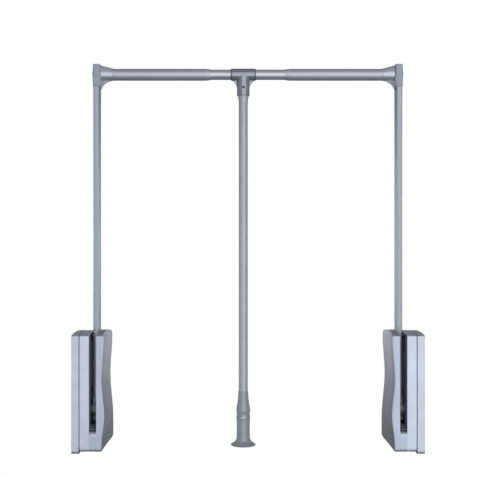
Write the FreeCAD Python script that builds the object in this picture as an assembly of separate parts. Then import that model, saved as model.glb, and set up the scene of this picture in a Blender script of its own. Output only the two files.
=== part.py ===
import FreeCAD, Part
import math
import os

from FreeCAD import Vector

# Pull down closet rod: two swing arms carry a telescopic hanging bar, and a long pull rod
# brings the bar down. X runs from the left closet wall to the right one, +Y to the back of
# the closet, +Z up. The origin lies on the left wall's face, on the swing axis of the arms.
# Everything is built on the left side and mirrored for the right one.

# ------------------------------------------------------------------ driving sizes, in mm
closet_width = 760.0            # clear width between the two closet walls
arm_inset = 45.5                # wall face to the middle plane of each arm
arm_reach = 741.0               # swing axis to the axis of the hanging bar
over_swing_deg = 12.0           # how far the arms go below level when pulled down

# housing, seen from the side
housing_half_depth = 70.0
housing_drop = 82.0             # underside below the swing axis
front_rise = 168.0              # front edge of the top
cover_crown = 174.0             # highest line of the inner cover
shell_crown = 172.0             # highest line of the outer shell and the wall plate
crown_y = -8.0
back_rise = 166.0
front_bottom_radius = 7.0
front_top_radius = 2.5
back_top_radius = 12.0
back_bottom_radius = 14.0
housing_wall = 2.5
least_radius = 0.5
crown_clear = 0.5               # keeps the rounded corner's tangent plane off the crown

# stack of the housing, distances from the wall
plate_depth = 16.0
plate_floor = 3.0
plate_rim = 3.0
plate_overhang = 4.6            # the plate reaches below the housing by this
shadow_gap = 2.0                # open line between the plate and the shell
land_inset = 8.0
land_width = 3.0
plate_corner_radius = 1.0       # rounding of the plate's top towards the wall
top_corner_radius = 8.0         # rounding of the cover's top into the closet

# wavy inner side of the cover, distances from the arm's middle plane at five heights
toe_rise = 12.0                 # height above the underside where the side starts to round in
toe_out = 20.0                  # at the front
toe_round_in = 1.0              # how far it rounds in down to the underside
toe_back_out = 26.8             # at the back, where the side hardly draws in higher up
toe_back_round_in = 9.0
low_bulge_out = 26.0
low_bulge_z = -12.0
waist_out = 20.0
waist_z = 66.0
high_bulge_out = 24.0
high_bulge_z = 140.0
shoulder_out = 24.5
side_edge_radius = 2.0
wave_overrun = 0.5              # the side is drawn this far beyond the front and the back

# wall fixing
wall_hole_radius = 2.6
wall_hole_half_y = 48.0
wall_hole_mid_z = 43.0
wall_hole_half_z = 96.0
wall_boss_radius = 7.0
wall_boss_height = 4.0
stud_y = -20.0
stud_half_z = 85.0
stud_mid_z = 35.0
stud_radius = 2.5
stud_head_radius = 4.5
stud_head_height = 2.0
stud_boss_radius = 6.0
stud_boss_height = 9.0
keyhole_drop = 10.0
keyhole_clear = 0.3

# slot of the arm
arm_slot_clear = 1.0            # slot width beyond the arm, each side
slot_lip_radius = 1.0
slot_foot_radius = 10.0         # soft foot of the slot on the front face
slot_ledge = 13.0
slot_cheek = 2.5
slot_cheek_depth = 30.0
slot_back_y = 19.0              # where the top opening ends, behind the arm
pad_thickness = 5.2
pad_gap = 0.5
pad_setback = 3.0
pad_side_clear = 1.2

# cover screws
screw_boss_radius = 4.2
screw_boss_edge = 0.8
screw_radius = 1.3
screw_hole_radius = 1.65
screw_head_radius = 3.0
screw_head_hole = 3.2
screw_head_height = 2.4
screw_sink = 0.5
screw_length = 31.0
upper_screw_drop = 18.0
middle_screw_z = 34.0

# arm and its hub
arm_width = 13.0
arm_depth = 34.0
arm_corner_radius = 3.0
arm_wall = 1.5
fit_clear = 0.05                # running and sliding fits, per side
axle_radius = 5.0
axle_head_radius = 8.0
axle_head_height = 3.0
axle_boss_radius = 9.0
axle_boss_gap = 0.5
clip_radius = 8.0
clip_width = 1.0
clip_groove_depth = 0.8
clip_grip = 0.6                 # how far the clip's mouth hooks round the groove, per side
clip_gap = 0.2
hub_radius = 15.0
hub_half_length = 14.0
bush_wall = 1.95
bush_flange_radius = 9.5
bush_flange = 1.0
bush_length = 12.0
hub_shoulder_z = 30.0           # the arm stands on this step of the hub
tongue_length = 65.0
pin_radius = 2.5
pin_first = 20.0                # first cross pin above the step
pin_pitch = 28.0

# toothed sector and rack
gear_module = 2.5
pitch_teeth = 20                # teeth that a full wheel would have
pressure_deg = 20.0
tooth_backlash = 0.2
gear_tip_height = 2.5
gear_root_depth = 3.125
rack_tip_height = 2.3
rack_root_depth = 3.1
flank_points = 5
rack_width = 14.0
rack_behind_strut = 10.0        # back of the rack's bar behind the strut's axis
rack_end = 7.5                  # bar beyond the middle of its last tooth
rack_guide_wall = 4.0
rack_guide_lip = 12.0
guide_top_gap = 2.0             # guide below the rack's flange at rest

# spring strut; its outside fills the room that the housing leaves, its parts share that out
spring_rib_gap = 1.0            # spring behind the rest buffer's rib
spring_boss_gap = 1.3           # spring in front of the screw bosses
spring_side_gap = 2.5           # spring to the cover's waist
spring_wire_share = 2 / 15      # wire radius as a share of the spring's outer radius
spring_turns = 13.0
spring_flange_lip = 0.5
spring_flange = 5.0
strut_top = 158.0
seat_plate = 4.0
seat_inset = 1.0
seat_towards_wall = 23.5
seat_into_closet = 15.5
seat_ledge = 9.0
damper_spring_gap = 2.0
damper_wall_share = 1.75 / 15
damper_gap = 0.5                # gland above the flange when the bar is all the way down
gland_flange = 2.0
gland_plug = 6.0
damper_top_wall = 8.0
damper_rod_share = 4 / 15       # radius of the rod and of the stud above
piston_length = 5.0
piston_clear = 0.1
rod_fit_clear = 0.1
piston_above_gland = 6.0

# rubber stop behind the arm
buffer_gap = 0.3
buffer_thickness = 6.0
buffer_low_z = 140.0
buffer_height = 16.0
buffer_edge_radius = 1.5
buffer_rib = 2.7
buffer_rib_low_z = 138.0

# elbow at the top of the arm
elbow_outer_wall = 1.0
elbow_inner_wall = 2.2
elbow_face_wall = 1.5
elbow_corner_radius = 3.5
elbow_drop = 28.0
elbow_rise = 21.3
arm_end_above_bar = 9.8
socket_clear = 0.1
stub_radius = 13.5
stub_crest = 20.8               # crest of the sloped fairing above the bar axis
fairing_radius = 13.0
fairing_sink = 0.6
stub_length = 27.2              # elbow's inner face to the end of the bar tube
spigot_length = 25.5
gusset_half_width = 2.5
gusset_sink = 0.6               # how far the gusset's end runs into the round it meets
gusset_drop = 44.0
gusset_bow = 0.2                # sagitta of the gusset's arc as a share of its chord
cap_radius = 15.5
cap_edge = 0.8
cap_dome = 1.9
elbow_screw_radius = 1.6
elbow_screw_head_radius = 3.4
elbow_screw_head = 1.8
elbow_screw_length = 7.0
elbow_screw_drop = 15.5
tube_screw_from_end = 12.5

# hanging bar
tube_radius = 13.0
tube_wall = 1.0
tube_end_from_middle = 93.0
inner_tube_radius = 11.3
inner_tube_wall = 1.2
inner_tube_length = 400.0
bush_bore_clear = 0.08
bush_sleeve = 25.0
bush_nose = 10.0
bush_nose_tip = 0.5
plug_flange = 1.5
plug_depth = 8.0

# tee on the hanging bar, pull rod and grip
tee_offset = 10.0               # the tee sits this far left of the middle
tee_length = 51.8
tee_radius = 13.5
tee_chamfer = 0.8
tee_leg_radius = 14.0
tee_leg_drop = 46.6
tee_bore_top = 16.0
tee_web_reach = 18.0            # how far below the sleeve the webs run down the leg
tee_web_bow = 0.13
ring_width = 1.5
ring_radius = 13.2
ring_gap = 0.3
tee_screw_drop = 29.3
tee_screw_head_radius = 2.4
tee_screw_head_clear = 0.2
tee_screw_sink = 0.8
tee_screw_seat = 1.6            # wall left under the screw head
tee_screw_reach = 3.0
rod_radius = 10.0
rod_wall = 1.2
rod_top_gap = 0.5
ferrule_length = 16.0
ferrule_gap = 0.4
ferrule_top_radius = 12.6
ferrule_foot_radius = 10.4
ferrule_hollow = 0.7            # how far its cone is hollowed
grip_top_z = 38.0
grip_bottom_z = -81.6
grip_bore_z = -40.0
grip_lip_radius = 11.0
grip_neck_radius = 12.4
grip_neck_z = 16.0
grip_shoulder_radius = 15.4
grip_shoulder_z = -3.0
grip_groove_radius = 14.4
grip_groove_z = -12.5
grip_bead_radius = 15.3
grip_bead_z = -19.0
grip_waist_radius = 14.7
grip_waist_z = -27.0
grip_flare_z = -63.0
grip_rim_radius = 27.4
grip_rim_height = 2.2
grip_rim_bulge = 0.1
grip_rim_round = 1.0
grip_flare_height = 4.9         # height above the rim where the flare is half way out
grip_cap_radius = 16.7
grip_cap_height = 1.6
grip_plug_radius = 9.9
grip_plug_depth = 7.6
screw_cap_half_width = 6.0
screw_cap_half_height = 4.0
screw_cap_proud = 1.0
screw_cap_depth = 3.0

# ------------------------------------------------------------------ worked out from them
swing_deg = 90.0 + over_swing_deg
over_swing = math.radians(over_swing_deg)
middle_x = closet_width / 2
arm_x0 = arm_inset - arm_width / 2
arm_x1 = arm_inset + arm_width / 2
split_x = arm_x0 - arm_slot_clear    # joint of the outer shell and the inner cover
slot_x1 = arm_x1 + arm_slot_clear
front_foot_x = arm_inset + toe_out - toe_round_in
low_bulge_x = arm_inset + low_bulge_out
waist_x = arm_inset + waist_out
high_bulge_x = arm_inset + high_bulge_out
shoulder_x = arm_inset + shoulder_out
shell_x = plate_depth + shadow_gap
slot_floor = -(housing_half_depth * math.tan(over_swing) + arm_depth / 2 / math.cos(over_swing)
               + pad_gap + pad_thickness)
screw_y = housing_half_depth - housing_wall - screw_boss_radius - screw_boss_edge
screw_low_z = -housing_drop + housing_wall + screw_boss_radius + screw_boss_edge
screw_places = [(screw_y, back_rise - upper_screw_drop), (screw_y, middle_screw_z),
                (screw_y, screw_low_z), (-screw_y, screw_low_z)]
hub_x0 = arm_inset - hub_half_length
hub_x1 = arm_inset + hub_half_length
bush_radius = axle_radius + fit_clear + bush_wall
axle_bore = axle_radius + fit_clear
axle_end = low_bulge_x - housing_wall - fit_clear
clip_x = hub_x1 + bush_flange + clip_gap
pitch_radius = gear_module * pitch_teeth / 2
tooth_pitch = math.pi * gear_module
swept_teeth = math.ceil(swing_deg * pitch_teeth / 360)
sector_first = -swept_teeth - 1.5    # places of teeth in tooth pitches, 0 lies at +Y
sector_last = 1.5
rack_first = -swept_teeth - 1
rack_last = 1
rack_travel = pitch_radius * math.radians(swing_deg)
rack_face_y = pitch_radius + rack_root_depth
rib_y = arm_depth / 2 + buffer_gap + buffer_thickness
strut_front_y = rib_y + buffer_rib + spring_rib_gap
strut_back_y = screw_y - screw_boss_radius - spring_boss_gap
spring_radius = min((strut_back_y - strut_front_y) / 2,
                    waist_out - housing_wall - spring_side_gap)
spring_wire_radius = spring_radius * spring_wire_share
spring_coil_radius = spring_radius - spring_wire_radius
spring_flange_radius = spring_radius + spring_flange_lip
strut_y = strut_front_y + spring_radius
seat_half_y = spring_radius - seat_inset
damper_radius = spring_coil_radius - spring_wire_radius - damper_spring_gap
damper_bore = damper_radius - spring_radius * damper_wall_share
damper_rod_radius = spring_radius * damper_rod_share
rack_back_y = strut_y + rack_behind_strut
rack_bar_below = -rack_first * tooth_pitch + rack_end
rack_bar_above = rack_last * tooth_pitch + rack_end
rack_guide_below = rack_bar_below + rack_guide_wall
rack_guide_above = rack_bar_above - guide_top_gap
seat_x0 = arm_inset - seat_towards_wall
seat_x1 = arm_inset + seat_into_closet
flange_top = rack_bar_above + spring_flange
gland_low = flange_top + rack_travel + damper_gap
bar_z = arm_reach
arm_top = bar_z + arm_end_above_bar
tube_bore = tube_radius - tube_wall
tube_end_x = middle_x - tube_end_from_middle
bush_bore = inner_tube_radius + bush_bore_clear
tee_x = middle_x - tee_offset
elbow_x0 = arm_x0 - socket_clear - elbow_outer_wall
elbow_x1 = arm_x1 + socket_clear + elbow_inner_wall
stub_end_x = elbow_x1 + stub_length
elbow_half_depth = arm_depth / 2 + socket_clear + elbow_face_wall
rod_top = bar_z - tee_bore_top - rod_top_gap


# ------------------------------------------------------------------ basic solids
def box(x0, x1, y0, y1, z0, z1):
    return Part.makeBox(x1 - x0, y1 - y0, z1 - z0, Vector(x0, y0, z0))


def round_x(radius, x0, x1, y=0.0, z=0.0):
    return Part.makeCylinder(radius, x1 - x0, Vector(x0, y, z), Vector(1, 0, 0))


def round_y(radius, y0, y1, x, z):
    return Part.makeCylinder(radius, y1 - y0, Vector(x, y0, z), Vector(0, 1, 0))


def round_z(radius, z0, z1, x, y=0.0):
    return Part.makeCylinder(radius, z1 - z0, Vector(x, y, z0), Vector(0, 0, 1))


def ring_x(outer, inner, x0, x1, y=0.0, z=0.0):
    return round_x(outer, x0, x1, y, z).cut(round_x(inner, x0, x1, y, z))


def ring_z(outer, inner, z0, z1, x, y=0.0):
    return round_z(outer, z0, z1, x, y).cut(round_z(inner, z0, z1, x, y))


def joined(first, *others):
    return first.multiFuse(list(others)).removeSplitter()


def polygon_prism(points, direction):
    wire = Part.makePolygon(points + points[:1])
    return Part.Face(wire).extrude(direction)


def turned_z(edges, x, y=0.0):
    """Solid of revolution about a vertical axis; the edges close a face in the XZ plane."""
    face = Part.Face(Part.Wire(edges))
    solid = face.revolve(Vector(0, 0, 0), Vector(0, 0, 1), 360)
    solid.translate(Vector(x, y, 0))
    return solid


def line(first, second):
    return Part.makeLine(first, second)


def rounded_column(x0, x1, half_depth, radius, z0, z1):
    """Upright bar of rounded rectangular section."""
    block = box(x0, x1, -half_depth, half_depth, z0, z1)
    upright = [edge for edge in block.Edges if abs(edge.tangentAt(edge.FirstParameter).z) > 0.9]
    return block.makeFillet(radius, upright)


# ------------------------------------------------------------------ housing outlines
def side_block(inset, crown, drop, x0, x1):
    """The housing's side outline between two planes, shrunk all round by the inset."""
    front = -housing_half_depth + inset
    back = housing_half_depth - inset
    low = -drop + inset
    front_top = Vector(x0, front, front_rise - inset)
    back_top = Vector(x0, back, back_rise - inset)
    crown_top = Vector(x0, crown_y, crown - inset)
    roof = Part.Arc(front_top, crown_top, back_top).toShape()
    front_low = Vector(x0, front, low)
    back_low = Vector(x0, back, low)
    sides = [line(back_top, back_low), line(back_low, front_low), line(front_low, front_top)]
    block = Part.Face(Part.Wire([roof] + sides)).extrude(Vector(x1 - x0, 0, 0))
    corners = [(front_low, front_bottom_radius), (front_top, front_top_radius),
               (back_top, back_top_radius), (back_low, back_bottom_radius)]
    for corner, radius in corners:
        edges = [edge for edge in block.Edges if runs_along_x_at(edge, corner)]
        block = block.makeFillet(max(radius - inset, least_radius), edges)
    return block


def runs_along_x_at(edge, corner):
    ends = [vertex.Point for vertex in edge.Vertexes]
    if len(ends) != 2 or abs(ends[0].x - ends[1].x) < least_radius:
        return False
    return all(math.hypot(end.y - corner.y, end.z - corner.z) < 0.001 for end in ends)


def wave_outline(inset, y, toe_reach, round_in):
    """Outline, at one depth, of all that lies on the wall's side of the cover's wavy side."""
    centre_z = cover_crown + crown_clear - top_corner_radius
    centre_x = shoulder_x - top_corner_radius
    radius = top_corner_radius - inset
    toe = Vector(arm_inset + toe_reach - inset, y, toe_rise - housing_drop)
    wave_end = Vector(shoulder_x - inset, y, centre_z)
    upright = Vector(0, 0, 1)
    wave = Part.BSplineCurve()
    wave.interpolate(Points=[toe, Vector(low_bulge_x - inset, y, low_bulge_z),
                             Vector(waist_x - inset, y, waist_z),
                             Vector(high_bulge_x - inset, y, high_bulge_z), wave_end],
                     InitialTangent=upright, FinalTangent=upright)
    diagonal = radius * math.sqrt(0.5)
    arc_middle = Vector(centre_x + diagonal, y, centre_z + diagonal)
    arc_end = Vector(centre_x, y, centre_z + radius)
    arc = Part.Arc(wave_end, arc_middle, arc_end).toShape()
    high = Vector(0, y, centre_z + radius)
    low = Vector(0, y, -2 * housing_drop)
    foot_height = toe_rise + wave_overrun
    foot_radius = (round_in ** 2 + foot_height ** 2) / (2 * round_in)
    half_turn = math.asin(foot_height / foot_radius) / 2
    foot_middle = toe - Vector(foot_radius * (1 - math.cos(half_turn)), 0,
                               foot_radius * math.sin(half_turn))
    foot = toe - Vector(round_in, 0, foot_height)
    under_foot = Vector(foot.x, y, -2 * housing_drop)
    sides = [line(arc_end, high), line(high, low), line(low, under_foot), line(under_foot, foot),
             Part.Arc(foot, foot_middle, toe).toShape()]
    return Part.Wire([wave.toShape(), arc] + sides)


def wavy_solid(inset):
    """Straight rules join the front outline to the back one."""
    reach = housing_half_depth + wave_overrun
    front = wave_outline(inset, -reach, toe_out, toe_round_in)
    back = wave_outline(inset, reach, toe_back_out, toe_back_round_in)
    return Part.makeLoft([front, back], True, True)


def cover_block(inset):
    block = side_block(inset, cover_crown, housing_drop, split_x, low_bulge_x + housing_wall)
    return block.common(wavy_solid(inset))


def plate_block(inset, x0):
    """The wall plate's outline with its rounded top corner towards the wall."""
    block = side_block(inset, shell_crown, housing_drop + plate_overhang, x0, plate_depth)
    radius = max(plate_corner_radius - inset, least_radius)
    centre_z = shell_crown - plate_corner_radius
    high_z = shell_crown + crown_clear
    corner = box(0, plate_corner_radius, -housing_half_depth, housing_half_depth, centre_z,
                 high_z)
    kept = round_y(radius, -housing_half_depth, housing_half_depth, plate_corner_radius,
                   centre_z)
    return block.cut(corner.cut(kept))


# ------------------------------------------------------------------ wall plate and studs
def wall_hole_places():
    return [(side_y * wall_hole_half_y, wall_hole_mid_z + side_z * wall_hole_half_z)
            for side_y in (-1, 1) for side_z in (-1, 1)]


def stud_places():
    return [(stud_y, stud_mid_z + side * stud_half_z) for side in (-1, 1)]


def make_wall_plate():
    tray = plate_block(0, 0).cut(plate_block(plate_rim, plate_floor))
    land = side_block(land_inset, shell_crown, housing_drop, plate_floor, shell_x)
    land = land.cut(side_block(land_inset + land_width, shell_crown, housing_drop,
                               plate_floor, shell_x))
    bosses = [round_x(wall_boss_radius, plate_floor, plate_floor + wall_boss_height, y, z)
              for y, z in wall_hole_places()]
    bosses += [round_x(stud_boss_radius, plate_floor, plate_floor + stud_boss_height, y, z)
               for y, z in stud_places()]
    plate = joined(tray, land, *bosses)
    for y, z in wall_hole_places():
        plate = plate.cut(round_x(wall_hole_radius, 0, plate_depth, y, z))
    for y, z in stud_places():
        plate = plate.cut(round_x(stud_radius, plate_floor, plate_depth, y, z))
    return plate


def make_hanging_studs():
    inside = shell_x + housing_wall
    studs = []
    for y, z in stud_places():
        shank = round_x(stud_radius, plate_floor, inside, y, z)
        head = round_x(stud_head_radius, inside, inside + stud_head_height, y, z)
        studs.append(joined(shank, head))
    return Part.makeCompound(studs)


# ------------------------------------------------------------------ outer shell
def keyhole(y, z):
    """Round entry below with a narrow slot up to where the stud rests."""
    x0 = shell_x - fit_clear
    x1 = shell_x + housing_wall + fit_clear
    narrow = stud_radius + keyhole_clear
    entry = round_x(stud_head_radius + keyhole_clear, x0, x1, y, z - keyhole_drop)
    rest = round_x(narrow, x0, x1, y, z)
    return joined(entry, rest, box(x0, x1, y - narrow, y + narrow, z - keyhole_drop, z))


def shell_block(inset, x0):
    return side_block(inset, shell_crown, housing_drop, x0, split_x)


def make_outer_shell():
    floor_x = shell_x + housing_wall
    inner = shell_block(housing_wall, floor_x)
    shell = shell_block(0, shell_x).cut(inner)
    front = -housing_half_depth + housing_wall / 2
    cheek = box(split_x - slot_cheek, split_x, front, front + slot_cheek_depth,
                -housing_drop + housing_wall / 2, front_rise - front_top_radius)
    boss = round_x(axle_boss_radius, floor_x, hub_x0 - bush_flange - axle_boss_gap)
    ledge = box(floor_x - housing_wall / 2, floor_x + seat_ledge, strut_y - seat_half_y,
                strut_y + seat_half_y, strut_top + seat_plate, shell_crown)
    ledge = ledge.common(shell_block(housing_wall / 2, shell_x))
    bosses = [round_x(screw_boss_radius, floor_x, split_x, y, z) for y, z in screw_places]
    shell = joined(shell, cheek, boss, ledge, *bosses)
    shell = shell.cut(round_x(axle_bore, shell_x, split_x))
    for y, z in screw_places:
        seat_x = shell_x + screw_sink + screw_head_height
        shell = shell.cut(round_x(screw_head_hole, shell_x, seat_x, y, z))
        shell = shell.cut(round_x(screw_hole_radius, shell_x, split_x, y, z))
    for y, z in stud_places():
        shell = shell.cut(keyhole(y, z))
    return shell


# ------------------------------------------------------------------ inner cover
def make_inner_cover():
    cover = rounded_wave_edges(cover_block(0))
    cavity = cover_block(housing_wall)
    front = -housing_half_depth
    cover = cover.cut(cavity)
    cheek = box(slot_x1, slot_x1 + slot_cheek, front + housing_wall / 2,
                front + slot_cheek_depth, -housing_drop + housing_wall / 2,
                front_rise - front_top_radius)
    ledge = box(split_x, slot_x1 + slot_cheek, front + housing_wall / 2,
                front + slot_cheek_depth, slot_floor - slot_ledge, slot_floor)
    inner_x = low_bulge_x - housing_wall / 2
    boss = round_x(axle_boss_radius, clip_x + clip_width + clip_gap, inner_x)
    seat = box(seat_x1 - seat_ledge, inner_x, strut_y - seat_half_y, strut_y + seat_half_y,
               strut_top + seat_plate, cover_crown)
    rib = box(split_x, inner_x, rib_y, rib_y + buffer_rib, buffer_rib_low_z, cover_crown)
    bosses = [round_x(screw_boss_radius, split_x, inner_x, y, z) for y, z in screw_places]
    inside = joined(cheek, ledge, boss, seat, rib, *bosses).common(cover_block(housing_wall / 2))
    cover = joined(cover, inside)
    slot = box(split_x, slot_x1, 2 * front, front + slot_cheek_depth, slot_floor, 2 * cover_crown)
    top_opening = box(split_x, slot_x1, 2 * front, slot_back_y,
                      front_rise - front_top_radius - housing_wall, 2 * cover_crown)
    cover = cover.cut(slot).cut(top_opening)
    cover = soft_slot(cover)
    cover = cover.cut(round_x(axle_bore, split_x, axle_end))
    for y, z in screw_places:
        cover = cover.cut(round_x(screw_radius, split_x, shell_x + screw_length, y, z))
    return cover


def rounded_wave_edges(block):
    """Rounds the two long edges where the wavy side meets the front and the back."""
    edges = []
    for edge in block.Edges:
        ends = [vertex.Point for vertex in edge.Vertexes]
        at_face = all(abs(abs(end.y) - housing_half_depth) < 0.001 for end in ends)
        if at_face and min(end.x for end in ends) > front_foot_x:
            edges.append(edge)
    return block.makeFillet(side_edge_radius, edges)


def soft_slot(cover):
    """Rounds the slot's free lip and gives its foot a large soft radius."""
    front = -housing_half_depth
    lip_low = slot_floor
    radius = slot_foot_radius
    foot = box(split_x, slot_x1, front, front + radius, slot_floor - radius, slot_floor)
    foot = foot.cut(round_x(radius, split_x, slot_x1, front + radius, slot_floor - radius))
    lip = box(slot_x1, slot_x1 + slot_lip_radius, front, front + slot_lip_radius,
              lip_low, cover_crown)
    lip = lip.cut(round_z(slot_lip_radius, lip_low, cover_crown, slot_x1 + slot_lip_radius,
                          front + slot_lip_radius))
    return cover.cut(foot).cut(lip)


def make_cover_screws():
    screws = []
    head_x = shell_x + screw_sink
    for y, z in screw_places:
        head = round_x(screw_head_radius, head_x, head_x + screw_head_height, y, z)
        shank = round_x(screw_radius, head_x, shell_x + screw_length, y, z)
        socket = round_x(screw_radius, head_x, head_x + screw_head_height / 2, y, z)
        screws.append(joined(head, shank).cut(socket))
    return Part.makeCompound(screws)


def make_slot_pad():
    """Rubber pad on the slot's foot; its top lies along the lowered arm's underside."""
    y0 = -housing_half_depth + pad_setback
    y1 = -housing_half_depth + slot_cheek_depth
    x0 = split_x + pad_side_clear
    under_arm = arm_depth / 2 / math.cos(over_swing) + pad_gap

    def top_at(y):
        return y * math.tan(over_swing) - under_arm

    points = [Vector(x0, y0 + slot_foot_radius, slot_floor), Vector(x0, y1, slot_floor),
              Vector(x0, y1, top_at(y1)), Vector(x0, y0, top_at(y0)),
              Vector(x0, y0, top_at(y0) - pad_thickness / 2)]
    return polygon_prism(points, Vector(slot_x1 - pad_side_clear - x0, 0, 0))


def make_rest_buffer():
    y0 = arm_depth / 2 + buffer_gap
    block = box(arm_x0, arm_x1, y0, y0 + buffer_thickness, buffer_low_z,
                buffer_low_z + buffer_height)
    front_edges = [edge for edge in block.Edges
                   if all(abs(vertex.Point.y - y0) < 0.001 for vertex in edge.Vertexes)]
    return block.makeFillet(buffer_edge_radius, front_edges)


# ------------------------------------------------------------------ axle, clip, guide, strut
def make_axle():
    shaft = round_x(axle_radius, shell_x, axle_end - axle_boss_gap)
    head = round_x(axle_head_radius, shell_x - axle_head_height, shell_x)
    groove = ring_x(axle_radius + clip_groove_depth, axle_radius - clip_groove_depth, clip_x,
                    clip_x + clip_width)
    return joined(shaft, head).cut(groove)


def make_axle_clip():
    disc = ring_x(clip_radius, axle_radius - clip_groove_depth, clip_x, clip_x + clip_width)
    mouth_half = axle_radius - clip_groove_depth - clip_grip
    mouth = box(clip_x, clip_x + clip_width, 0, clip_radius, -mouth_half, mouth_half)
    return disc.cut(mouth)


def make_rack_guide():
    side = rack_width / 2 + fit_clear
    wall_x = side + rack_guide_wall
    back = housing_half_depth - housing_wall
    body = box(arm_inset - wall_x, arm_inset + wall_x, rack_back_y - rack_guide_lip, back,
               -rack_guide_below, rack_guide_above)
    channel = box(arm_inset - side, arm_inset + side, 0, rack_back_y + fit_clear,
                  -2 * rack_guide_below, 2 * rack_guide_above)
    pocket = box(arm_inset - side, arm_inset + side, rack_back_y + rack_guide_wall, back,
                 -rack_guide_below + rack_guide_wall, rack_guide_above - rack_guide_wall)
    return body.cut(channel).cut(pocket)


def make_spring():
    """Compression spring between the rack's flange and the seat, with flat ground ends."""
    height = strut_top - flange_top
    low = flange_top - spring_wire_radius / 2
    length = height + spring_wire_radius
    helix = Part.makeHelix(length / spring_turns, length, spring_coil_radius)
    start = Part.Circle(Vector(spring_coil_radius, 0, 0), Vector(0, 1, 0), spring_wire_radius)
    coil = Part.Wire(helix).makePipeShell([Part.Wire(start.toShape())], True, True)
    coil.translate(Vector(arm_inset, strut_y, low))
    reach = spring_coil_radius + 2 * spring_wire_radius
    keep = round_z(reach, flange_top, strut_top, arm_inset, strut_y)
    return coil.common(keep)


def make_spring_seat():
    plate = box(seat_x0, seat_x1, strut_y - seat_half_y, strut_y + seat_half_y,
                strut_top, strut_top + seat_plate)
    return plate.cut(round_z(damper_rod_radius, strut_top, strut_top + seat_plate,
                             arm_inset, strut_y))


def make_damper_cylinder():
    low = gland_low + gland_flange
    body = round_z(damper_radius, low, strut_top, arm_inset, strut_y)
    bore = round_z(damper_bore, low, strut_top - damper_top_wall, arm_inset, strut_y)
    stud = round_z(damper_rod_radius, strut_top, strut_top + seat_plate + 2, arm_inset, strut_y)
    return joined(body.cut(bore), stud)


def make_damper_gland():
    flange_z = gland_low + gland_flange
    flange = round_z(damper_radius, gland_low, flange_z, arm_inset, strut_y)
    plug = round_z(damper_bore, flange_z, flange_z + gland_plug, arm_inset, strut_y)
    hole = round_z(damper_rod_radius + rod_fit_clear, gland_low, flange_z + gland_plug,
                   arm_inset, strut_y)
    return joined(flange, plug).cut(hole)


def make_damper_rod():
    piston_low = gland_low + gland_flange + gland_plug + piston_above_gland
    rod = round_z(damper_rod_radius, flange_top, piston_low, arm_inset, strut_y)
    piston = round_z(damper_bore - piston_clear, piston_low, piston_low + piston_length,
                     arm_inset, strut_y)
    return joined(rod, piston)


# ------------------------------------------------------------------ toothed sector and rack
def involute(angle):
    return math.tan(angle) - angle


def sector_tooth(position):
    """One involute tooth; its place is counted in tooth pitches from +Y towards +Z."""
    base_radius = pitch_radius * math.cos(math.radians(pressure_deg))
    tip_radius = pitch_radius + gear_tip_height
    root_radius = pitch_radius - gear_root_depth
    middle = position * 2 * math.pi / pitch_teeth
    half_at_pitch = (tooth_pitch / 2 - tooth_backlash / 2) / 2 / pitch_radius
    half_at_base = half_at_pitch + involute(math.radians(pressure_deg))
    flank = [(root_radius - least_radius, half_at_base)]
    for step in range(flank_points):
        radius = base_radius + (tip_radius - base_radius) * step / (flank_points - 1)
        flank.append((radius, half_at_base - involute(math.acos(base_radius / radius))))
    lower = [(radius, middle - half) for radius, half in flank]
    upper = [(radius, middle + half) for radius, half in reversed(flank)]
    points = [Vector(arm_x0, radius * math.cos(angle), radius * math.sin(angle))
              for radius, angle in lower + upper]
    return polygon_prism(points, Vector(arm_width, 0, 0))


def make_hub():
    barrel = round_x(hub_radius, hub_x0, hub_x1)
    wheel = round_x(pitch_radius - gear_root_depth, arm_x0, arm_x1)
    half_depth = arm_depth / 2
    block = box(arm_x0, arm_x1, -half_depth, half_depth, hub_radius / 2, hub_shoulder_z)
    inner_x0 = arm_x0 + arm_wall + fit_clear
    inner_x1 = arm_x1 - arm_wall - fit_clear
    tongue = rounded_column(inner_x0, inner_x1, half_depth - arm_wall - fit_clear,
                            arm_corner_radius - arm_wall + fit_clear, hub_radius,
                            hub_shoulder_z + tongue_length)
    count = int(round(sector_last - sector_first)) + 1
    teeth = [sector_tooth(sector_first + index) for index in range(count)]
    hub = joined(barrel, wheel, block, tongue, *teeth)
    hub = hub.cut(round_x(bush_radius, hub_x0, hub_x1))
    for z in pin_heights():
        hub = hub.cut(round_x(pin_radius, arm_x0, arm_x1, 0, z))
    return hub


def pin_heights():
    first = hub_shoulder_z + pin_first
    return (first, first + pin_pitch)


def make_hub_bushes():
    bushes = []
    for face_x, side in ((hub_x0, 1), (hub_x1, -1)):
        sleeve_x = sorted((face_x, face_x + side * bush_length))
        flange_x = sorted((face_x, face_x - side * bush_flange))
        sleeve = ring_x(bush_radius, axle_bore, *sleeve_x)
        flange = ring_x(bush_flange_radius, axle_bore, *flange_x)
        bushes.append(joined(sleeve, flange))
    return Part.makeCompound(bushes)


def make_rack():
    x0 = arm_inset - rack_width / 2
    x1 = arm_inset + rack_width / 2
    bar = box(x0, x1, rack_face_y, rack_back_y, -rack_bar_below, rack_bar_above)
    flange = round_z(spring_flange_radius, rack_bar_above, flange_top, arm_inset, strut_y)
    slope = math.tan(math.radians(pressure_deg))
    half_at_pitch = (tooth_pitch / 2 - tooth_backlash / 2) / 2
    tip = half_at_pitch - rack_tip_height * slope
    root = half_at_pitch + (rack_root_depth + least_radius) * slope
    tip_y = pitch_radius - rack_tip_height
    root_y = rack_face_y + least_radius
    teeth = []
    for index in range(rack_first, rack_last + 1):
        z = index * tooth_pitch
        points = [Vector(x0, root_y, z - root), Vector(x0, tip_y, z - tip),
                  Vector(x0, tip_y, z + tip), Vector(x0, root_y, z + root)]
        teeth.append(polygon_prism(points, Vector(rack_width, 0, 0)))
    return joined(bar, flange, *teeth)


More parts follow.
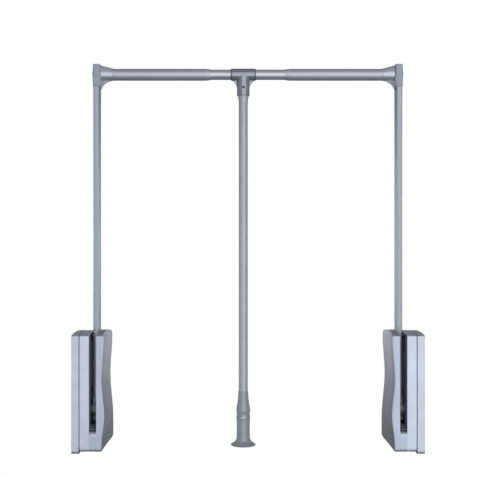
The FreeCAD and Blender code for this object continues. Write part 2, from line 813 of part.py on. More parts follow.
# ------------------------------------------------------------------ arm and elbow
def make_arm():
    outer = rounded_column(arm_x0, arm_x1, arm_depth / 2, arm_corner_radius,
                           hub_shoulder_z, arm_top)
    inner = rounded_column(arm_x0 + arm_wall, arm_x1 - arm_wall, arm_depth / 2 - arm_wall,
                           arm_corner_radius - arm_wall, hub_shoulder_z, arm_top)
    arm = outer.cut(inner)
    for z in pin_heights():
        arm = arm.cut(round_x(pin_radius, arm_x0, arm_x1, 0, z))
    return arm.cut(round_y(elbow_screw_radius, 0, arm_depth, arm_inset,
                           bar_z - elbow_screw_drop))


def make_arm_pins():
    return Part.makeCompound([round_x(pin_radius, arm_x0, arm_x1, 0, z)
                              for z in pin_heights()])


def stub_fairing():
    """Round ridge that slopes from the leg's top down to the end of the stub."""
    start = Vector(elbow_x1 - elbow_inner_wall, 0, bar_z + stub_crest - fairing_radius)
    end = Vector(stub_end_x, 0, bar_z + stub_radius - fairing_sink - fairing_radius)
    ridge = Part.makeCylinder(fairing_radius, (end - start).Length, start, end - start)
    return ridge.common(box(elbow_x0, stub_end_x, -stub_radius, stub_radius, bar_z,
                            bar_z + elbow_rise))


def arc_gusset(corner_x, corner_z, reach_x, reach_z, x_sign, bow):
    """Thin web in an inner corner, closed by a concave arc."""
    side = Vector(corner_x + x_sign * reach_x, 0, corner_z)
    foot = Vector(corner_x, 0, corner_z - reach_z)
    corner = Vector(corner_x, 0, corner_z)
    chord = side - foot
    inward = corner - (side + foot) * 0.5
    inward.normalize()
    bowed = (side + foot) * 0.5 + inward * chord.Length * bow
    arc = Part.Arc(side, bowed, foot).toShape()
    face = Part.Face(Part.Wire([arc, line(foot, corner), line(corner, side)]))
    face.translate(Vector(0, -gusset_half_width, 0))
    return face.extrude(Vector(0, 2 * gusset_half_width, 0))


def make_elbow():
    leg = rounded_column(elbow_x0, elbow_x1, elbow_half_depth, elbow_corner_radius,
                         bar_z - elbow_drop, bar_z + elbow_rise)
    top_edges = [edge for edge in leg.Edges
                 if all(vertex.Point.z > bar_z + elbow_rise - 0.001 for vertex in edge.Vertexes)]
    leg = leg.makeFillet(least_radius * 2, top_edges)
    stub = round_x(stub_radius, elbow_x1 - elbow_inner_wall / 2, stub_end_x, 0, bar_z)
    spigot = round_x(tube_bore - fit_clear, stub_end_x, stub_end_x + spigot_length, 0, bar_z)
    web_z = bar_z - stub_radius + gusset_sink
    web = arc_gusset(arm_x1 + socket_clear, web_z, stub_end_x - arm_x1 - socket_clear,
                     gusset_drop - stub_radius + gusset_sink, 1, gusset_bow)
    socket = rounded_column(arm_x0 - socket_clear, arm_x1 + socket_clear,
                            arm_depth / 2 + socket_clear, arm_corner_radius + socket_clear,
                            bar_z - elbow_drop, arm_top + socket_clear)
    elbow = joined(leg, stub, stub_fairing(), spigot, web).cut(socket)
    elbow = elbow.cut(round_y(elbow_screw_radius, 0, 2 * arm_depth, arm_inset,
                              bar_z - elbow_screw_drop))
    return elbow.cut(round_y(elbow_screw_radius, 0, 2 * arm_depth,
                             stub_end_x + tube_screw_from_end, bar_z))


def make_elbow_screws():
    places = [(arm_inset, bar_z - elbow_screw_drop, elbow_half_depth),
              (stub_end_x + tube_screw_from_end, bar_z, tube_radius)]
    screws = []
    for x, z, seat_y in places:
        head = round_y(elbow_screw_head_radius, seat_y, seat_y + elbow_screw_head, x, z)
        shank = round_y(elbow_screw_radius, seat_y - elbow_screw_length, seat_y, x, z)
        recess = round_y(elbow_screw_radius, seat_y + elbow_screw_head / 2,
                         seat_y + elbow_screw_head, x, z)
        screws.append(joined(head, shank).cut(recess))
    return Part.makeCompound(screws)


def make_elbow_cap():
    sphere_radius = (cap_radius ** 2 + cap_dome ** 2) / (2 * cap_dome)
    height = cap_edge + cap_dome
    disc = round_x(cap_radius, elbow_x0 - height, elbow_x0, 0, bar_z)
    centre = Vector(elbow_x0 - height + sphere_radius, 0, bar_z)
    return disc.common(Part.makeSphere(sphere_radius, centre))


# ------------------------------------------------------------------ hanging bar
def make_bar_tube():
    tube = ring_x(tube_radius, tube_bore, stub_end_x, tube_end_x, 0, bar_z)
    return tube.cut(round_y(elbow_screw_radius, 0, 2 * tube_radius,
                            stub_end_x + tube_screw_from_end, bar_z))


def make_bar_bush():
    """Glide bush: a sleeve inside the outer tube and a tapered nose over the inner one."""
    sleeve = round_x(tube_bore - fit_clear, tube_end_x - bush_sleeve, tube_end_x, 0, bar_z)
    nose = Part.makeCone(tube_radius, bush_bore + bush_nose_tip, bush_nose,
                         Vector(tube_end_x, 0, bar_z), Vector(1, 0, 0))
    bore = round_x(bush_bore, tube_end_x - bush_sleeve, tube_end_x + bush_nose, 0, bar_z)
    return joined(sleeve, nose).cut(bore)


def inner_tube_ends():
    return (middle_x - inner_tube_length / 2, middle_x + inner_tube_length / 2)


def make_inner_tube():
    return ring_x(inner_tube_radius, inner_tube_radius - inner_tube_wall, *inner_tube_ends(),
                  0, bar_z)


def make_inner_tube_plugs():
    plugs = []
    for end_x, side in zip(inner_tube_ends(), (1, -1)):
        flange_x = sorted((end_x, end_x - side * plug_flange))
        plug_x = sorted((end_x, end_x + side * plug_depth))
        flange = round_x(inner_tube_radius, *flange_x, 0, bar_z)
        plug = round_x(inner_tube_radius - inner_tube_wall, *plug_x, 0, bar_z)
        plugs.append(joined(flange, plug))
    return Part.makeCompound(plugs)


# ------------------------------------------------------------------ tee, pull rod and grip
def make_tee():
    half = tee_length / 2
    sleeve = round_x(tee_radius, tee_x - half, tee_x + half, 0, bar_z)
    rims = [edge for edge in sleeve.Edges if isinstance(edge.Curve, Part.Circle)]
    sleeve = sleeve.makeChamfer(tee_chamfer, rims)
    leg = round_z(tee_leg_radius, bar_z - tee_leg_drop, bar_z, tee_x)
    web_z = bar_z - tee_radius + gusset_sink
    reach = half - tee_chamfer - tee_leg_radius
    webs = []
    for side in (-1, 1):
        corner_x = tee_x + side * (tee_leg_radius - gusset_sink)
        webs.append(arc_gusset(corner_x, web_z, reach, tee_web_reach + gusset_sink, side,
                               tee_web_bow))
    tee = joined(sleeve, leg, *webs)
    tee = tee.cut(round_x(bush_bore, tee_x - half, tee_x + half, 0, bar_z))
    tee = tee.cut(round_z(rod_radius + fit_clear, bar_z - tee_leg_drop,
                          bar_z - tee_bore_top, tee_x))
    seat_y = -rod_radius - fit_clear - tee_screw_seat
    screw_z = bar_z - tee_screw_drop
    pocket_radius = tee_screw_head_radius + tee_screw_head_clear
    tee = tee.cut(round_y(pocket_radius, -2 * tee_leg_radius, seat_y, tee_x, screw_z))
    return tee.cut(round_y(elbow_screw_radius, seat_y, 0, tee_x, screw_z))


def make_tee_screw():
    seat_y = -rod_radius - fit_clear - tee_screw_seat
    face_y = -tee_leg_radius + tee_screw_sink
    screw_z = bar_z - tee_screw_drop
    head = round_y(tee_screw_head_radius, face_y, seat_y, tee_x, screw_z)
    shank = round_y(elbow_screw_radius, seat_y, seat_y + tee_screw_seat + tee_screw_reach,
                    tee_x, screw_z)
    recess = round_y(screw_radius, face_y, (face_y + seat_y) / 2, tee_x, screw_z)
    return joined(head, shank).cut(recess)


def make_tee_rings():
    """Two snap rings on the inner tube that keep the tee in its place."""
    rings = []
    for side in (-1, 1):
        near = tee_x + side * (tee_length / 2 + ring_gap)
        span = sorted((near, near + side * ring_width))
        rings.append(ring_x(ring_radius, inner_tube_radius, *span, 0, bar_z))
    return Part.makeCompound(rings)


def make_rod_ferrule():
    top = bar_z - tee_leg_drop - ferrule_gap
    foot = bar_z - tee_leg_drop - ferrule_length
    waist_radius = (ferrule_top_radius + ferrule_foot_radius) / 2 - ferrule_hollow
    waist = Vector(waist_radius, 0, (top + foot) / 2)
    bore = rod_radius + fit_clear
    outer_top = Vector(ferrule_top_radius, 0, top)
    outer_foot = Vector(ferrule_foot_radius, 0, foot)
    arc = Part.Arc(outer_top, waist, outer_foot).toShape()
    sides = [line(outer_foot, Vector(bore, 0, foot)),
             line(Vector(bore, 0, foot), Vector(bore, 0, top)),
             line(Vector(bore, 0, top), outer_top)]
    return turned_z([arc] + sides, tee_x)


def make_pull_tube():
    tube = ring_z(rod_radius, rod_radius - rod_wall, grip_bore_z, rod_top, tee_x)
    screw_z = bar_z - tee_screw_drop
    return tube.cut(round_y(elbow_screw_radius, -2 * rod_radius, 0, tee_x, screw_z))


def grip_outline():
    """Neck, ring shoulder, groove, bead, slim handle and flared foot, top to bottom."""
    flare_radius = (grip_waist_radius + grip_rim_radius) / 2
    rim_top = grip_bottom_z + grip_rim_height
    points = [Vector(grip_lip_radius, 0, grip_top_z), Vector(grip_neck_radius, 0, grip_neck_z),
              Vector(grip_shoulder_radius, 0, grip_shoulder_z),
              Vector(grip_groove_radius, 0, grip_groove_z),
              Vector(grip_bead_radius, 0, grip_bead_z),
              Vector(grip_waist_radius, 0, grip_waist_z)]
    upper = Part.BSplineCurve()
    upper.interpolate(Points=points, InitialTangent=Vector(0, 0, -1),
                      FinalTangent=Vector(0, 0, -1))
    handle_foot = Vector(grip_waist_radius, 0, grip_flare_z)
    flare_z = rim_top + grip_flare_height
    rim_edge = Vector(grip_rim_radius, 0, rim_top)
    flare = Part.BSplineCurve()
    flare.interpolate(Points=[handle_foot, Vector(flare_radius, 0, flare_z), rim_edge],
                      InitialTangent=Vector(0, 0, -1), FinalTangent=Vector(1, 0, -0.5))
    rim_middle = Vector(grip_rim_radius + grip_rim_bulge, 0, grip_bottom_z + grip_rim_round)
    rim = Part.Arc(rim_edge, rim_middle, grip_rim_foot()).toShape()
    return [upper.toShape(), line(points[-1], handle_foot), flare.toShape(), rim]


def grip_rim_foot():
    return Vector(grip_rim_radius - grip_rim_round, 0, grip_bottom_z)


def make_grip():
    bore = rod_radius + fit_clear
    plug_top = grip_bottom_z + grip_plug_depth
    inside = [grip_rim_foot(), Vector(grip_plug_radius, 0, grip_bottom_z),
              Vector(grip_plug_radius, 0, plug_top), Vector(0, 0, plug_top),
              Vector(0, 0, grip_bore_z), Vector(bore, 0, grip_bore_z),
              Vector(bore, 0, grip_top_z), Vector(grip_lip_radius, 0, grip_top_z)]
    sides = [line(first, second) for first, second in zip(inside, inside[1:])]
    return turned_z(grip_outline() + sides, tee_x).cut(screw_cap_prism(-2 * grip_bead_radius))


def screw_cap_prism(front_y):
    """Oval prism across the front of the grip, from its pocket's floor out to a plane."""
    back_y = -grip_bead_radius + screw_cap_depth
    oval = Part.Ellipse(Vector(0, 0, 0), screw_cap_half_width, screw_cap_half_height)
    face = Part.Face(Part.Wire(oval.toShape()))
    face.rotate(Vector(0, 0, 0), Vector(1, 0, 0), 90)
    face.translate(Vector(tee_x, back_y, grip_bead_z))
    return face.extrude(Vector(0, front_y - back_y, 0))


def make_grip_screw_cap():
    return screw_cap_prism(-grip_bead_radius - screw_cap_proud)


def make_grip_end_cap():
    plate = round_z(grip_cap_radius, grip_bottom_z - grip_cap_height, grip_bottom_z, tee_x)
    plug = round_z(grip_plug_radius, grip_bottom_z, grip_bottom_z + grip_plug_depth, tee_x)
    return joined(plate, plug)


# ------------------------------------------------------------------ assembly and export
SIDE_PIECES = {
    "wall_plate": make_wall_plate,
    "hanging_studs": make_hanging_studs,
    "outer_shell": make_outer_shell,
    "inner_cover": make_inner_cover,
    "cover_screws": make_cover_screws,
    "slot_pad": make_slot_pad,
    "rest_buffer": make_rest_buffer,
    "axle": make_axle,
    "axle_clip": make_axle_clip,
    "rack_guide": make_rack_guide,
    "spring": make_spring,
    "spring_seat": make_spring_seat,
    "damper_cylinder": make_damper_cylinder,
    "damper_gland": make_damper_gland,
    "damper_rod": make_damper_rod,
    "rack": make_rack,
    "hub": make_hub,
    "hub_bushes": make_hub_bushes,
    "arm": make_arm,
    "arm_pins": make_arm_pins,
    "elbow": make_elbow,
    "elbow_screws": make_elbow_screws,
    "elbow_cap": make_elbow_cap,
    "bar_tube": make_bar_tube,
    "bar_bush": make_bar_bush,
}

CENTRE_PIECES = {
    "inner_tube": make_inner_tube,
    "inner_tube_plugs": make_inner_tube_plugs,
    "tee": make_tee,
    "tee_screw": make_tee_screw,
    "tee_rings": make_tee_rings,
    "rod_ferrule": make_rod_ferrule,
    "pull_tube": make_pull_tube,
    "grip": make_grip,
    "grip_screw_cap": make_grip_screw_cap,
    "grip_end_cap": make_grip_end_cap,
}


def export(name, shape):
    shape.exportStep(os.path.join("parts", name + ".step"))


os.makedirs("parts", exist_ok=True)
for piece, make in SIDE_PIECES.items():
    left = make()
    export("left_" + piece, left)
    if piece == "spring":
        # both springs are wound the same way, so this one is moved across
        right = left.copy()
        right.translate(Vector(closet_width - 2 * arm_inset, 0, 0))
    else:
        right = left.mirror(Vector(middle_x, 0, 0), Vector(1, 0, 0))
    export("right_" + piece, right)
for piece, make in CENTRE_PIECES.items():
    export(piece, make())
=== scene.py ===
import math
import bmesh
import bpy
import numpy as np
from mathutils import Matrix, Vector


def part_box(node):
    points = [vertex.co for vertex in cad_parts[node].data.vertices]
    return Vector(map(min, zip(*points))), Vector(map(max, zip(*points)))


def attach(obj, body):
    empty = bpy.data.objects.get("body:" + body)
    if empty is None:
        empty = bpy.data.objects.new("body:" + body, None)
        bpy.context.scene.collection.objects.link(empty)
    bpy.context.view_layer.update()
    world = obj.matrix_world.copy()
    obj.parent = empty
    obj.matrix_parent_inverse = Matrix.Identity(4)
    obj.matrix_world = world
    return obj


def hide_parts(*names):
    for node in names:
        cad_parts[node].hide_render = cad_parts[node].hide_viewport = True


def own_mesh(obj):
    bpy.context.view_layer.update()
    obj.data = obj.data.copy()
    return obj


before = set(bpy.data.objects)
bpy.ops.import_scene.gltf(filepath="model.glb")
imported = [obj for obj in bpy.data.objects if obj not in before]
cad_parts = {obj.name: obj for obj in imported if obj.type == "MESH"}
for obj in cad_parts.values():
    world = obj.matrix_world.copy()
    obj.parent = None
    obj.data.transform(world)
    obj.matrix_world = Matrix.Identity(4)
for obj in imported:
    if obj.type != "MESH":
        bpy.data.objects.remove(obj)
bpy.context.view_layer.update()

# ------------------------------------------------------------------ studio
# The wardrobe lift hangs in a white room. One wide soft light stands in front of it. A narrow
# pair grazes the housings' inner sides, a flagged pair brightens the pull rod's edges, and a
# weak one stands behind. A pale round floor lies well below.
scene = bpy.context.scene
scene.view_settings.view_transform = "Standard"
closet_width = 0.76
middle_x = closet_width / 2
tee_x = 0.37                    # the pull rod hangs a little left of the middle

camera = bpy.data.objects.new("camera", bpy.data.cameras.new("camera"))
camera.location = (0.3594, -2.070, 0.3772)
camera.rotation_euler = (math.pi / 2, 0, 0)
camera.data.lens = 70.3
camera.data.sensor_width = 36
scene.collection.objects.link(camera)
scene.camera = camera


def soft_light(name, place, target, width, height, power):
    """Rectangular lamp that looks from its place to a target and isn't seen itself."""
    lamp = bpy.data.lights.new(name, "AREA")
    lamp.shape = "RECTANGLE"
    lamp.size = width
    lamp.size_y = height
    lamp.energy = power
    stand = bpy.data.objects.new(name, lamp)
    stand.location = place
    aim = Vector(target) - Vector(place)
    stand.rotation_euler = aim.to_track_quat("-Z", "Y").to_euler()
    stand.visible_camera = False
    scene.collection.objects.link(stand)
    return stand


soft_light("front_light", (0.95, -2.7, 0.58), (middle_x, 0, 0.18), width=4.2, height=3.8,
           power=93)
lit_on_edges = bpy.data.collections.new("lit_on_edges")
shaded_from_sides = bpy.data.collections.new("shaded_from_sides")
for side_name, side_x, aim_x, power in (("left", 1.75, 0.08, 3.15), ("right", -0.99, 0.68, 3.8)):
    side_light = soft_light(f"{side_name}_inside_light", (side_x, 0.45, 0.42), (aim_x, 0, 0.36),
                            width=0.9, height=0.4, power=power)
    side_light.data.spread = math.radians(28)
    side_light.light_linking.receiver_collection = shaded_from_sides
    side_light.visible_glossy = False
for side_name, side_x, power in (("left", -0.38, 5.2), ("right", 1.12, 3.6)):
    edge_light = soft_light(f"{side_name}_edge_light", (side_x, -0.35, 0.15),
                            (tee_x, 0, 0.15), width=0.4, height=1.2, power=power)
    edge_light.light_linking.receiver_collection = lit_on_edges
    edge_light.visible_glossy = False
back_light = soft_light("back_light", (middle_x, 3.0, 0.4), (middle_x, 0, 0.3), width=1.6,
                        height=1.2, power=26)
back_light.visible_glossy = False


def ray_strength(tree, straight, gloss, rest):
    """One value for rays straight from the eye or through glass, one for rays off a gloss and
    one for all others: each mix lays its own value over the result of the one before."""
    rays = tree.nodes.new("ShaderNodeLightPath")
    strength = rest
    for ray, value in (("Is Glossy Ray", gloss), ("Is Transmission Ray", straight),
                       ("Is Camera Ray", straight)):
        pick = tree.nodes.new("ShaderNodeMix")
        tree.links.new(rays.outputs[ray], pick.inputs["Factor"])
        if isinstance(strength, float):
            pick.inputs["A"].default_value = strength
        else:
            tree.links.new(strength, pick.inputs["A"])
        pick.inputs["B"].default_value = value
        strength = pick.outputs["Result"]
    return strength


world = bpy.data.worlds.new("white_room")
world.use_nodes = True
scene.world = world
room = world.node_tree
room.links.new(ray_strength(room, straight=1.0, gloss=0.40, rest=0.07),
               room.nodes["Background"].inputs["Strength"])
room.nodes["Background"].inputs["Color"].default_value = (1, 1, 1, 1)


def skin(name, shells):
    """One mesh object from shells. A shell is a grid of points, and whether its rows and its
    columns run on into the first one again; each cell of the grid is a four-sided face."""
    corners, faces, count = [], [], 0
    for points, rows_loop, columns_loop in shells:
        rows, columns = points.shape[:2]
        index = count + np.arange(rows * columns).reshape(rows, columns)
        if rows_loop:
            index = np.vstack([index, index[:1]])
        if columns_loop:
            index = np.hstack([index, index[:, :1]])
        cells = [index[:-1, :-1], index[1:, :-1], index[1:, 1:], index[:-1, 1:]]
        faces.append(np.stack(cells, -1).reshape(-1, 4))
        corners.append(points.reshape(-1, 3))
        count += rows * columns
    mesh = bpy.data.meshes.new(name)
    mesh.from_pydata(np.vstack(corners).tolist(), [], np.vstack(faces).tolist())
    work = bmesh.new()
    work.from_mesh(mesh)
    bmesh.ops.remove_doubles(work, verts=work.verts, dist=1e-7)
    bmesh.ops.recalc_face_normals(work, faces=work.faces)
    work.to_mesh(mesh)
    work.free()
    mesh.shade_smooth()
    mesh.set_sharp_from_angle(angle=math.radians(38))
    piece = bpy.data.objects.new(name, mesh)
    scene.collection.objects.link(piece)
    piece.modifiers.new("even_shading", "WEIGHTED_NORMAL").keep_sharp = True
    return piece


floor_level = -0.62
floor_radius = 1.6
floor_rings, floor_spokes = 9, 72
ring_share = np.linspace(0, 1, floor_rings)[:, None]
floor_turn = np.linspace(0, 2 * np.pi, floor_spokes, endpoint=False)[None]
floor_points = np.stack([middle_x + floor_radius * ring_share * np.cos(floor_turn),
                         floor_radius * ring_share * np.sin(floor_turn),
                         np.full((floor_rings, floor_spokes), floor_level)], -1)
floor = skin("floor", [(floor_points, False, True)])
floor_paint = bpy.data.materials.new("pale_floor")
floor_paint.use_nodes = True
tree = floor_paint.node_tree
paint = tree.nodes["Principled BSDF"]
paint.inputs["Base Color"].default_value = (0.3, 0.3, 0.3, 1)
paint.inputs["Roughness"].default_value = 0.9
glow = tree.nodes.new("ShaderNodeEmission")
bright = tree.nodes.new("ShaderNodeAddShader")
tree.links.new(ray_strength(tree, straight=0.9, gloss=0.0, rest=0.0), glow.inputs["Strength"])
tree.links.new(paint.outputs[0], bright.inputs[0])
tree.links.new(glow.outputs[0], bright.inputs[1])
tree.links.new(bright.outputs[0], tree.nodes["Material Output"].inputs["Surface"])
floor.data.materials.append(floor_paint)

# ------------------------------------------------------------------ wall plates
# The plate screws to the closet's side wall and the housing hooks over it. It is a shallow
# tray moulded in silver-filled ABS, satin on the outside, with bosses for screws and studs.


def screen_colour(red, green, blue):
    """Light values of a colour that is named by its 0 to 255 screen values."""
    share = np.array([red, green, blue]) / 255
    return np.where(share < 0.04045, share / 12.92, ((share + 0.055) / 1.055) ** 2.4)


def new_material(name, metallic, specular, clear=1.0):
    """A material and its shader. Clear is the share that is kept of the colourless gloss which
    lies over the base colour."""
    material = bpy.data.materials.new(name)
    material.use_nodes = True
    shader = material.node_tree.nodes["Principled BSDF"]
    shader.inputs["Metallic"].default_value = metallic
    shader.inputs["Specular IOR Level"].default_value = specular
    shader.inputs["Specular Tint"].default_value = (clear, clear, clear, 1)
    return material, shader


def grain(material, size, detail=2.0, stretch=(1, 1, 1)):
    """Noise whose lumps are about the given size in metres, drawn out along an axis where the
    stretch is small."""
    nodes, links = material.node_tree.nodes, material.node_tree.links
    place = nodes.new("ShaderNodeTexCoord")
    mapping = nodes.new("ShaderNodeMapping")
    mapping.inputs["Scale"].default_value = stretch
    noise = nodes.new("ShaderNodeTexNoise")
    noise.inputs["Scale"].default_value = 1 / size
    noise.inputs["Detail"].default_value = detail
    links.new(place.outputs["Object"], mapping.inputs["Vector"])
    links.new(mapping.outputs["Vector"], noise.inputs["Vector"])
    return noise.outputs["Fac"]


def together(material, first, second, share):
    """The first pattern with a share of the second added to it."""
    add = material.node_tree.nodes.new("ShaderNodeMath")
    add.operation = "MULTIPLY_ADD"
    add.inputs[1].default_value = share
    material.node_tree.links.new(second, add.inputs[0])
    material.node_tree.links.new(first, add.inputs[2])
    return add.outputs[0]


def tint(material, shader, pattern, colour, spread, middle=0.5):
    """Base colour that runs from darker to lighter than the given one as the pattern rises
    through its middle."""
    half_reach = 0.22
    ramp = material.node_tree.nodes.new("ShaderNodeValToRGB")
    low, high = ramp.color_ramp.elements
    low.position, high.position = middle - half_reach, middle + half_reach
    low.color = (*(np.array(colour) * (1 - spread)), 1)
    high.color = (*(np.array(colour) * (1 + spread)), 1)
    material.node_tree.links.new(pattern, ramp.inputs["Fac"])
    material.node_tree.links.new(ramp.outputs["Color"], shader.inputs["Base Color"])


def gloss(material, shader, pattern, low, high):
    """Roughness that runs between two values as the pattern runs from 0.3 to 0.7, where most
    of a noise lies."""
    reach = material.node_tree.nodes.new("ShaderNodeMapRange")
    reach.inputs["From Min"].default_value = 0.3
    reach.inputs["From Max"].default_value = 0.7
    reach.inputs["To Min"].default_value = low
    reach.inputs["To Max"].default_value = high
    material.node_tree.links.new(pattern, reach.inputs["Value"])
    material.node_tree.links.new(reach.outputs[0], shader.inputs["Roughness"])


def relief(material, shader, pattern, depth):
    """Surface relief of the given depth in metres, on top of any relief already there."""
    links = material.node_tree.links
    bump = material.node_tree.nodes.new("ShaderNodeBump")
    bump.inputs["Distance"].default_value = depth
    links.new(pattern, bump.inputs["Height"])
    normal = shader.inputs["Normal"]
    if normal.is_linked:
        links.new(normal.links[0].from_socket, bump.inputs["Normal"])
    links.new(bump.outputs["Normal"], normal)


def silver_moulding(name, colour, metallic=0.5, roughness=0.42, specular=0.2, clear=0.0):
    """Satin moulding with metal flake in it: broad flow marks, a fine flake speckle, spark-eroded
    grain and a gloss that changes a little from place to place."""
    material, shader = new_material(name, metallic, specular, clear)
    flow = grain(material, size=0.11, detail=3)
    flake = grain(material, size=0.0007, detail=1)
    speckle = together(material, flow, flake, share=0.35)
    tint(material, shader, speckle, colour, spread=0.035, middle=0.68)
    gloss(material, shader, grain(material, size=0.02, detail=3), roughness - 0.04,
          roughness + 0.05)
    relief(material, shader, grain(material, size=0.0011, detail=2), depth=0.00003)
    relief(material, shader, grain(material, size=0.012, detail=1), depth=0.00004)
    return material


def dress(material, *names):
    """Gives carried-over pieces their finish."""
    for name in names:
        for material_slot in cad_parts[name].material_slots:
            material_slot.material = material


plate_finish = silver_moulding("plate_silver", screen_colour(180, 188, 204))
dress(plate_finish, "left_wall_plate", "right_wall_plate")

# ------------------------------------------------------------------ housing shells
# The outer half of each housing, moulded in the same silver-filled ABS and hooked on the plate.
# It takes the axle, the keyholes for the studs and the four screws that close the housing.
shell_finish = silver_moulding("shell_silver", screen_colour(184, 192, 207))
dress(shell_finish, "left_outer_shell", "right_outer_shell")

# ------------------------------------------------------------------ housing covers
# The inner half, with the arm's slot in its front and a wavy side towards the clothes. Its
# silver is a shade bluer and deeper than the shell's.
cover_finish = silver_moulding("cover_silver", screen_colour(167, 176, 194))


def painted_side_shade(material, shader, front_y, depth, share):
    """Multiplies the base colour by a share from a depth behind the front face on: painted shade
    that leaves the sides greyer and a little darker than the front."""
    nodes, links = material.node_tree.nodes, material.node_tree.links
    place = nodes.new("ShaderNodeTexCoord")
    split = nodes.new("ShaderNodeSeparateXYZ")
    behind = nodes.new("ShaderNodeMapRange")
    behind.inputs["From Min"].default_value = front_y
    behind.inputs["From Max"].default_value = front_y + depth
    mix = nodes.new("ShaderNodeMix")
    mix.data_type = "RGBA"
    mix.blend_type = "MULTIPLY"
    mix.inputs["B"].default_value = (*share, 1)
    colour = shader.inputs["Base Color"].links[0].from_socket
    links.new(place.outputs["Object"], split.inputs[0])
    links.new(split.outputs["Y"], behind.inputs["Value"])
    links.new(behind.outputs[0], mix.inputs["Factor"])
    links.new(colour, mix.inputs["A"])
    links.new(mix.outputs["Result"], shader.inputs["Base Color"])


# The cover's sides, from just behind its front face on, carry painted shade: greyer and a little
# darker than its front.
cover_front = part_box("left_inner_cover")[0].y
painted_side_shade(cover_finish, cover_finish.node_tree.nodes["Principled BSDF"],
              front_y=cover_front + 0.001, depth=0.004, share=(0.96, 0.92, 0.83))
dress(cover_finish, "left_inner_cover", "right_inner_cover")

# ------------------------------------------------------------------ screws and studs
# Zinc-plated steel: hanging studs in the plate, pan-head screws with a cross recess that
# close the housing, hold the elbows and keep the pull rod in its tee.


def turned(outline, origin, axis, around=64):
    """Shell of an outline turned once round an axis. A point of the outline is (along, out)
    and lies at origin + along * axis + out * (cos t * side + sin t * up)."""
    outline = np.asarray(outline, float)
    axis = np.array(axis, float)
    side = np.array([1.0, 0, 0]) if abs(axis[0]) < 0.5 else np.array([0, 1.0, 0])
    up = np.cross(axis, side)
    turn = np.linspace(0, 2 * np.pi, around, endpoint=False)[:, None]
    spokes = np.cos(turn) * side + np.sin(turn) * up
    points = np.array(origin) + outline[:, None, :1] * axis + outline[:, None, 1:] * spokes
    return points, bool(outline[0, 1] > 0), True


def eased(corners, steps=5):
    """Closed outline through (a, b, rounding) corners. A rounded corner becomes an arc that
    touches both sides: it turns about a centre on the corner's bisector."""
    corners = np.asarray(corners, float)
    share = np.linspace(0, 1, steps + 1)[:, None]
    points = []
    for index, (a, b, rounding) in enumerate(corners):
        here = np.array([a, b])
        if rounding == 0:
            points.append(here[None])
            continue
        back = corners[index - 1, :2] - here
        ahead = corners[(index + 1) % len(corners), :2] - here
        back /= np.linalg.norm(back)
        ahead /= np.linalg.norm(ahead)
        half = math.acos(np.clip(back @ ahead, -1, 1)) / 2
        middle = back + ahead
        centre = here + middle / np.linalg.norm(middle) * rounding / math.sin(half)
        first = here + back * rounding / math.tan(half) - centre
        last = here + ahead * rounding / math.tan(half) - centre
        whole = math.pi - 2 * half
        points.append(centre + (np.sin((1 - share) * whole) * first
                                + np.sin(share * whole) * last) / math.sin(whole))
    return np.vstack(points)


def open_eased(corners, steps=5):
    """The same with both ends left open, for a solid turned piece that starts and ends on its
    axis; the end corners take no rounding."""
    return eased([(a, b, 0 if index in (0, len(corners) - 1) else rounding)
                  for index, (a, b, rounding) in enumerate(corners)], steps)


def screw(face, axis, head_radius, head_height, shank_radius, length):
    """Pan-head screw; the axis points from the head into the work and the face is the head's
    outer middle. The recess is a plus sign of two tapered slots sunk into the head's dome."""
    dome_height = head_height * 0.45
    slot_depth = head_height * 0.6
    slot_half, slot_fade = head_radius * 0.17, head_radius * 0.08
    slot_reach, end_fade = head_radius * 0.62, head_radius * 0.3
    dome = np.linspace(0, 1, 14)
    head = np.stack([dome_height * dome ** 4, head_radius * dome], 1)
    rest = open_eased([(dome_height, head_radius, 0),
                       (head_height, head_radius, head_height * 0.1),
                       (head_height, shank_radius, 0), (length, shank_radius, 0.0003),
                       (length, 0, 0)], steps=3)
    points, rows_loop, columns_loop = turned(np.vstack([head, rest[1:]]), face, axis, around=48)
    axis = np.array(axis, float)
    offset = points - np.array(face)
    along = offset @ axis
    out = offset - along[..., None] * axis
    first = np.array([1.0, 0, 0]) if abs(axis[0]) < 0.5 else np.array([0, 1.0, 0])
    across = np.abs(out @ first)
    over = np.abs(out @ np.cross(axis, first))
    narrow = np.minimum(across, over)
    wide = np.maximum(across, over)
    inside = np.clip((slot_half - narrow) / slot_fade, 0, 1)
    inside *= np.clip((slot_reach - wide) / end_fade, 0, 1)
    inside *= along < head_height / 2
    points = points + (inside * slot_depth)[..., None] * axis
    return points, rows_loop, columns_loop


def mirrored(shells):
    """The same shells for the right side of the closet."""
    return [(points * (-1, 1, 1) + (closet_width, 0, 0), rows_loop, columns_loop)
            for points, rows_loop, columns_loop in shells]


def fit(piece, material, slot, body, *nodes):
    """Gives a finished piece its material and fixes it to the body it moves with, in place of
    its plain solids."""
    piece.data.materials.clear()
    piece.data.materials.append(material)
    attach(piece, body)
    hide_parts(*nodes)


def fit_both(name, shells, material, slot, body, node):
    """Makes and fits the left piece and its mirror image, each on its own side's body."""
    for side, side_shells in (("left", shells), ("right", mirrored(shells))):
        fit(skin(f"{side}_{name}", side_shells), material, slot, f"{side}_{body}",
            f"{side}_{node}")


def plated_steel(name, colour, roughness=0.34):
    """Zinc plate: small crystal mottle and a thin uneven passivation."""
    material, shader = new_material(name, metallic=0.85, specular=0.3, clear=0.3)
    mottle = together(material, grain(material, size=0.0016, detail=2),
                      grain(material, size=0.02, detail=3), share=0.6)
    tint(material, shader, mottle, colour, spread=0.12, middle=0.8)
    gloss(material, shader, grain(material, size=0.003, detail=2), roughness - 0.06,
          roughness + 0.08)
    relief(material, shader, grain(material, size=0.0006, detail=2), depth=0.000008)
    return material


zinc = plated_steel("zinc_plate", screen_colour(168, 170, 170))
dark_screw = plated_steel("dark_zinc_plate", screen_colour(88, 90, 92), roughness=0.45)
dress(zinc, "left_hanging_studs", "right_hanging_studs")

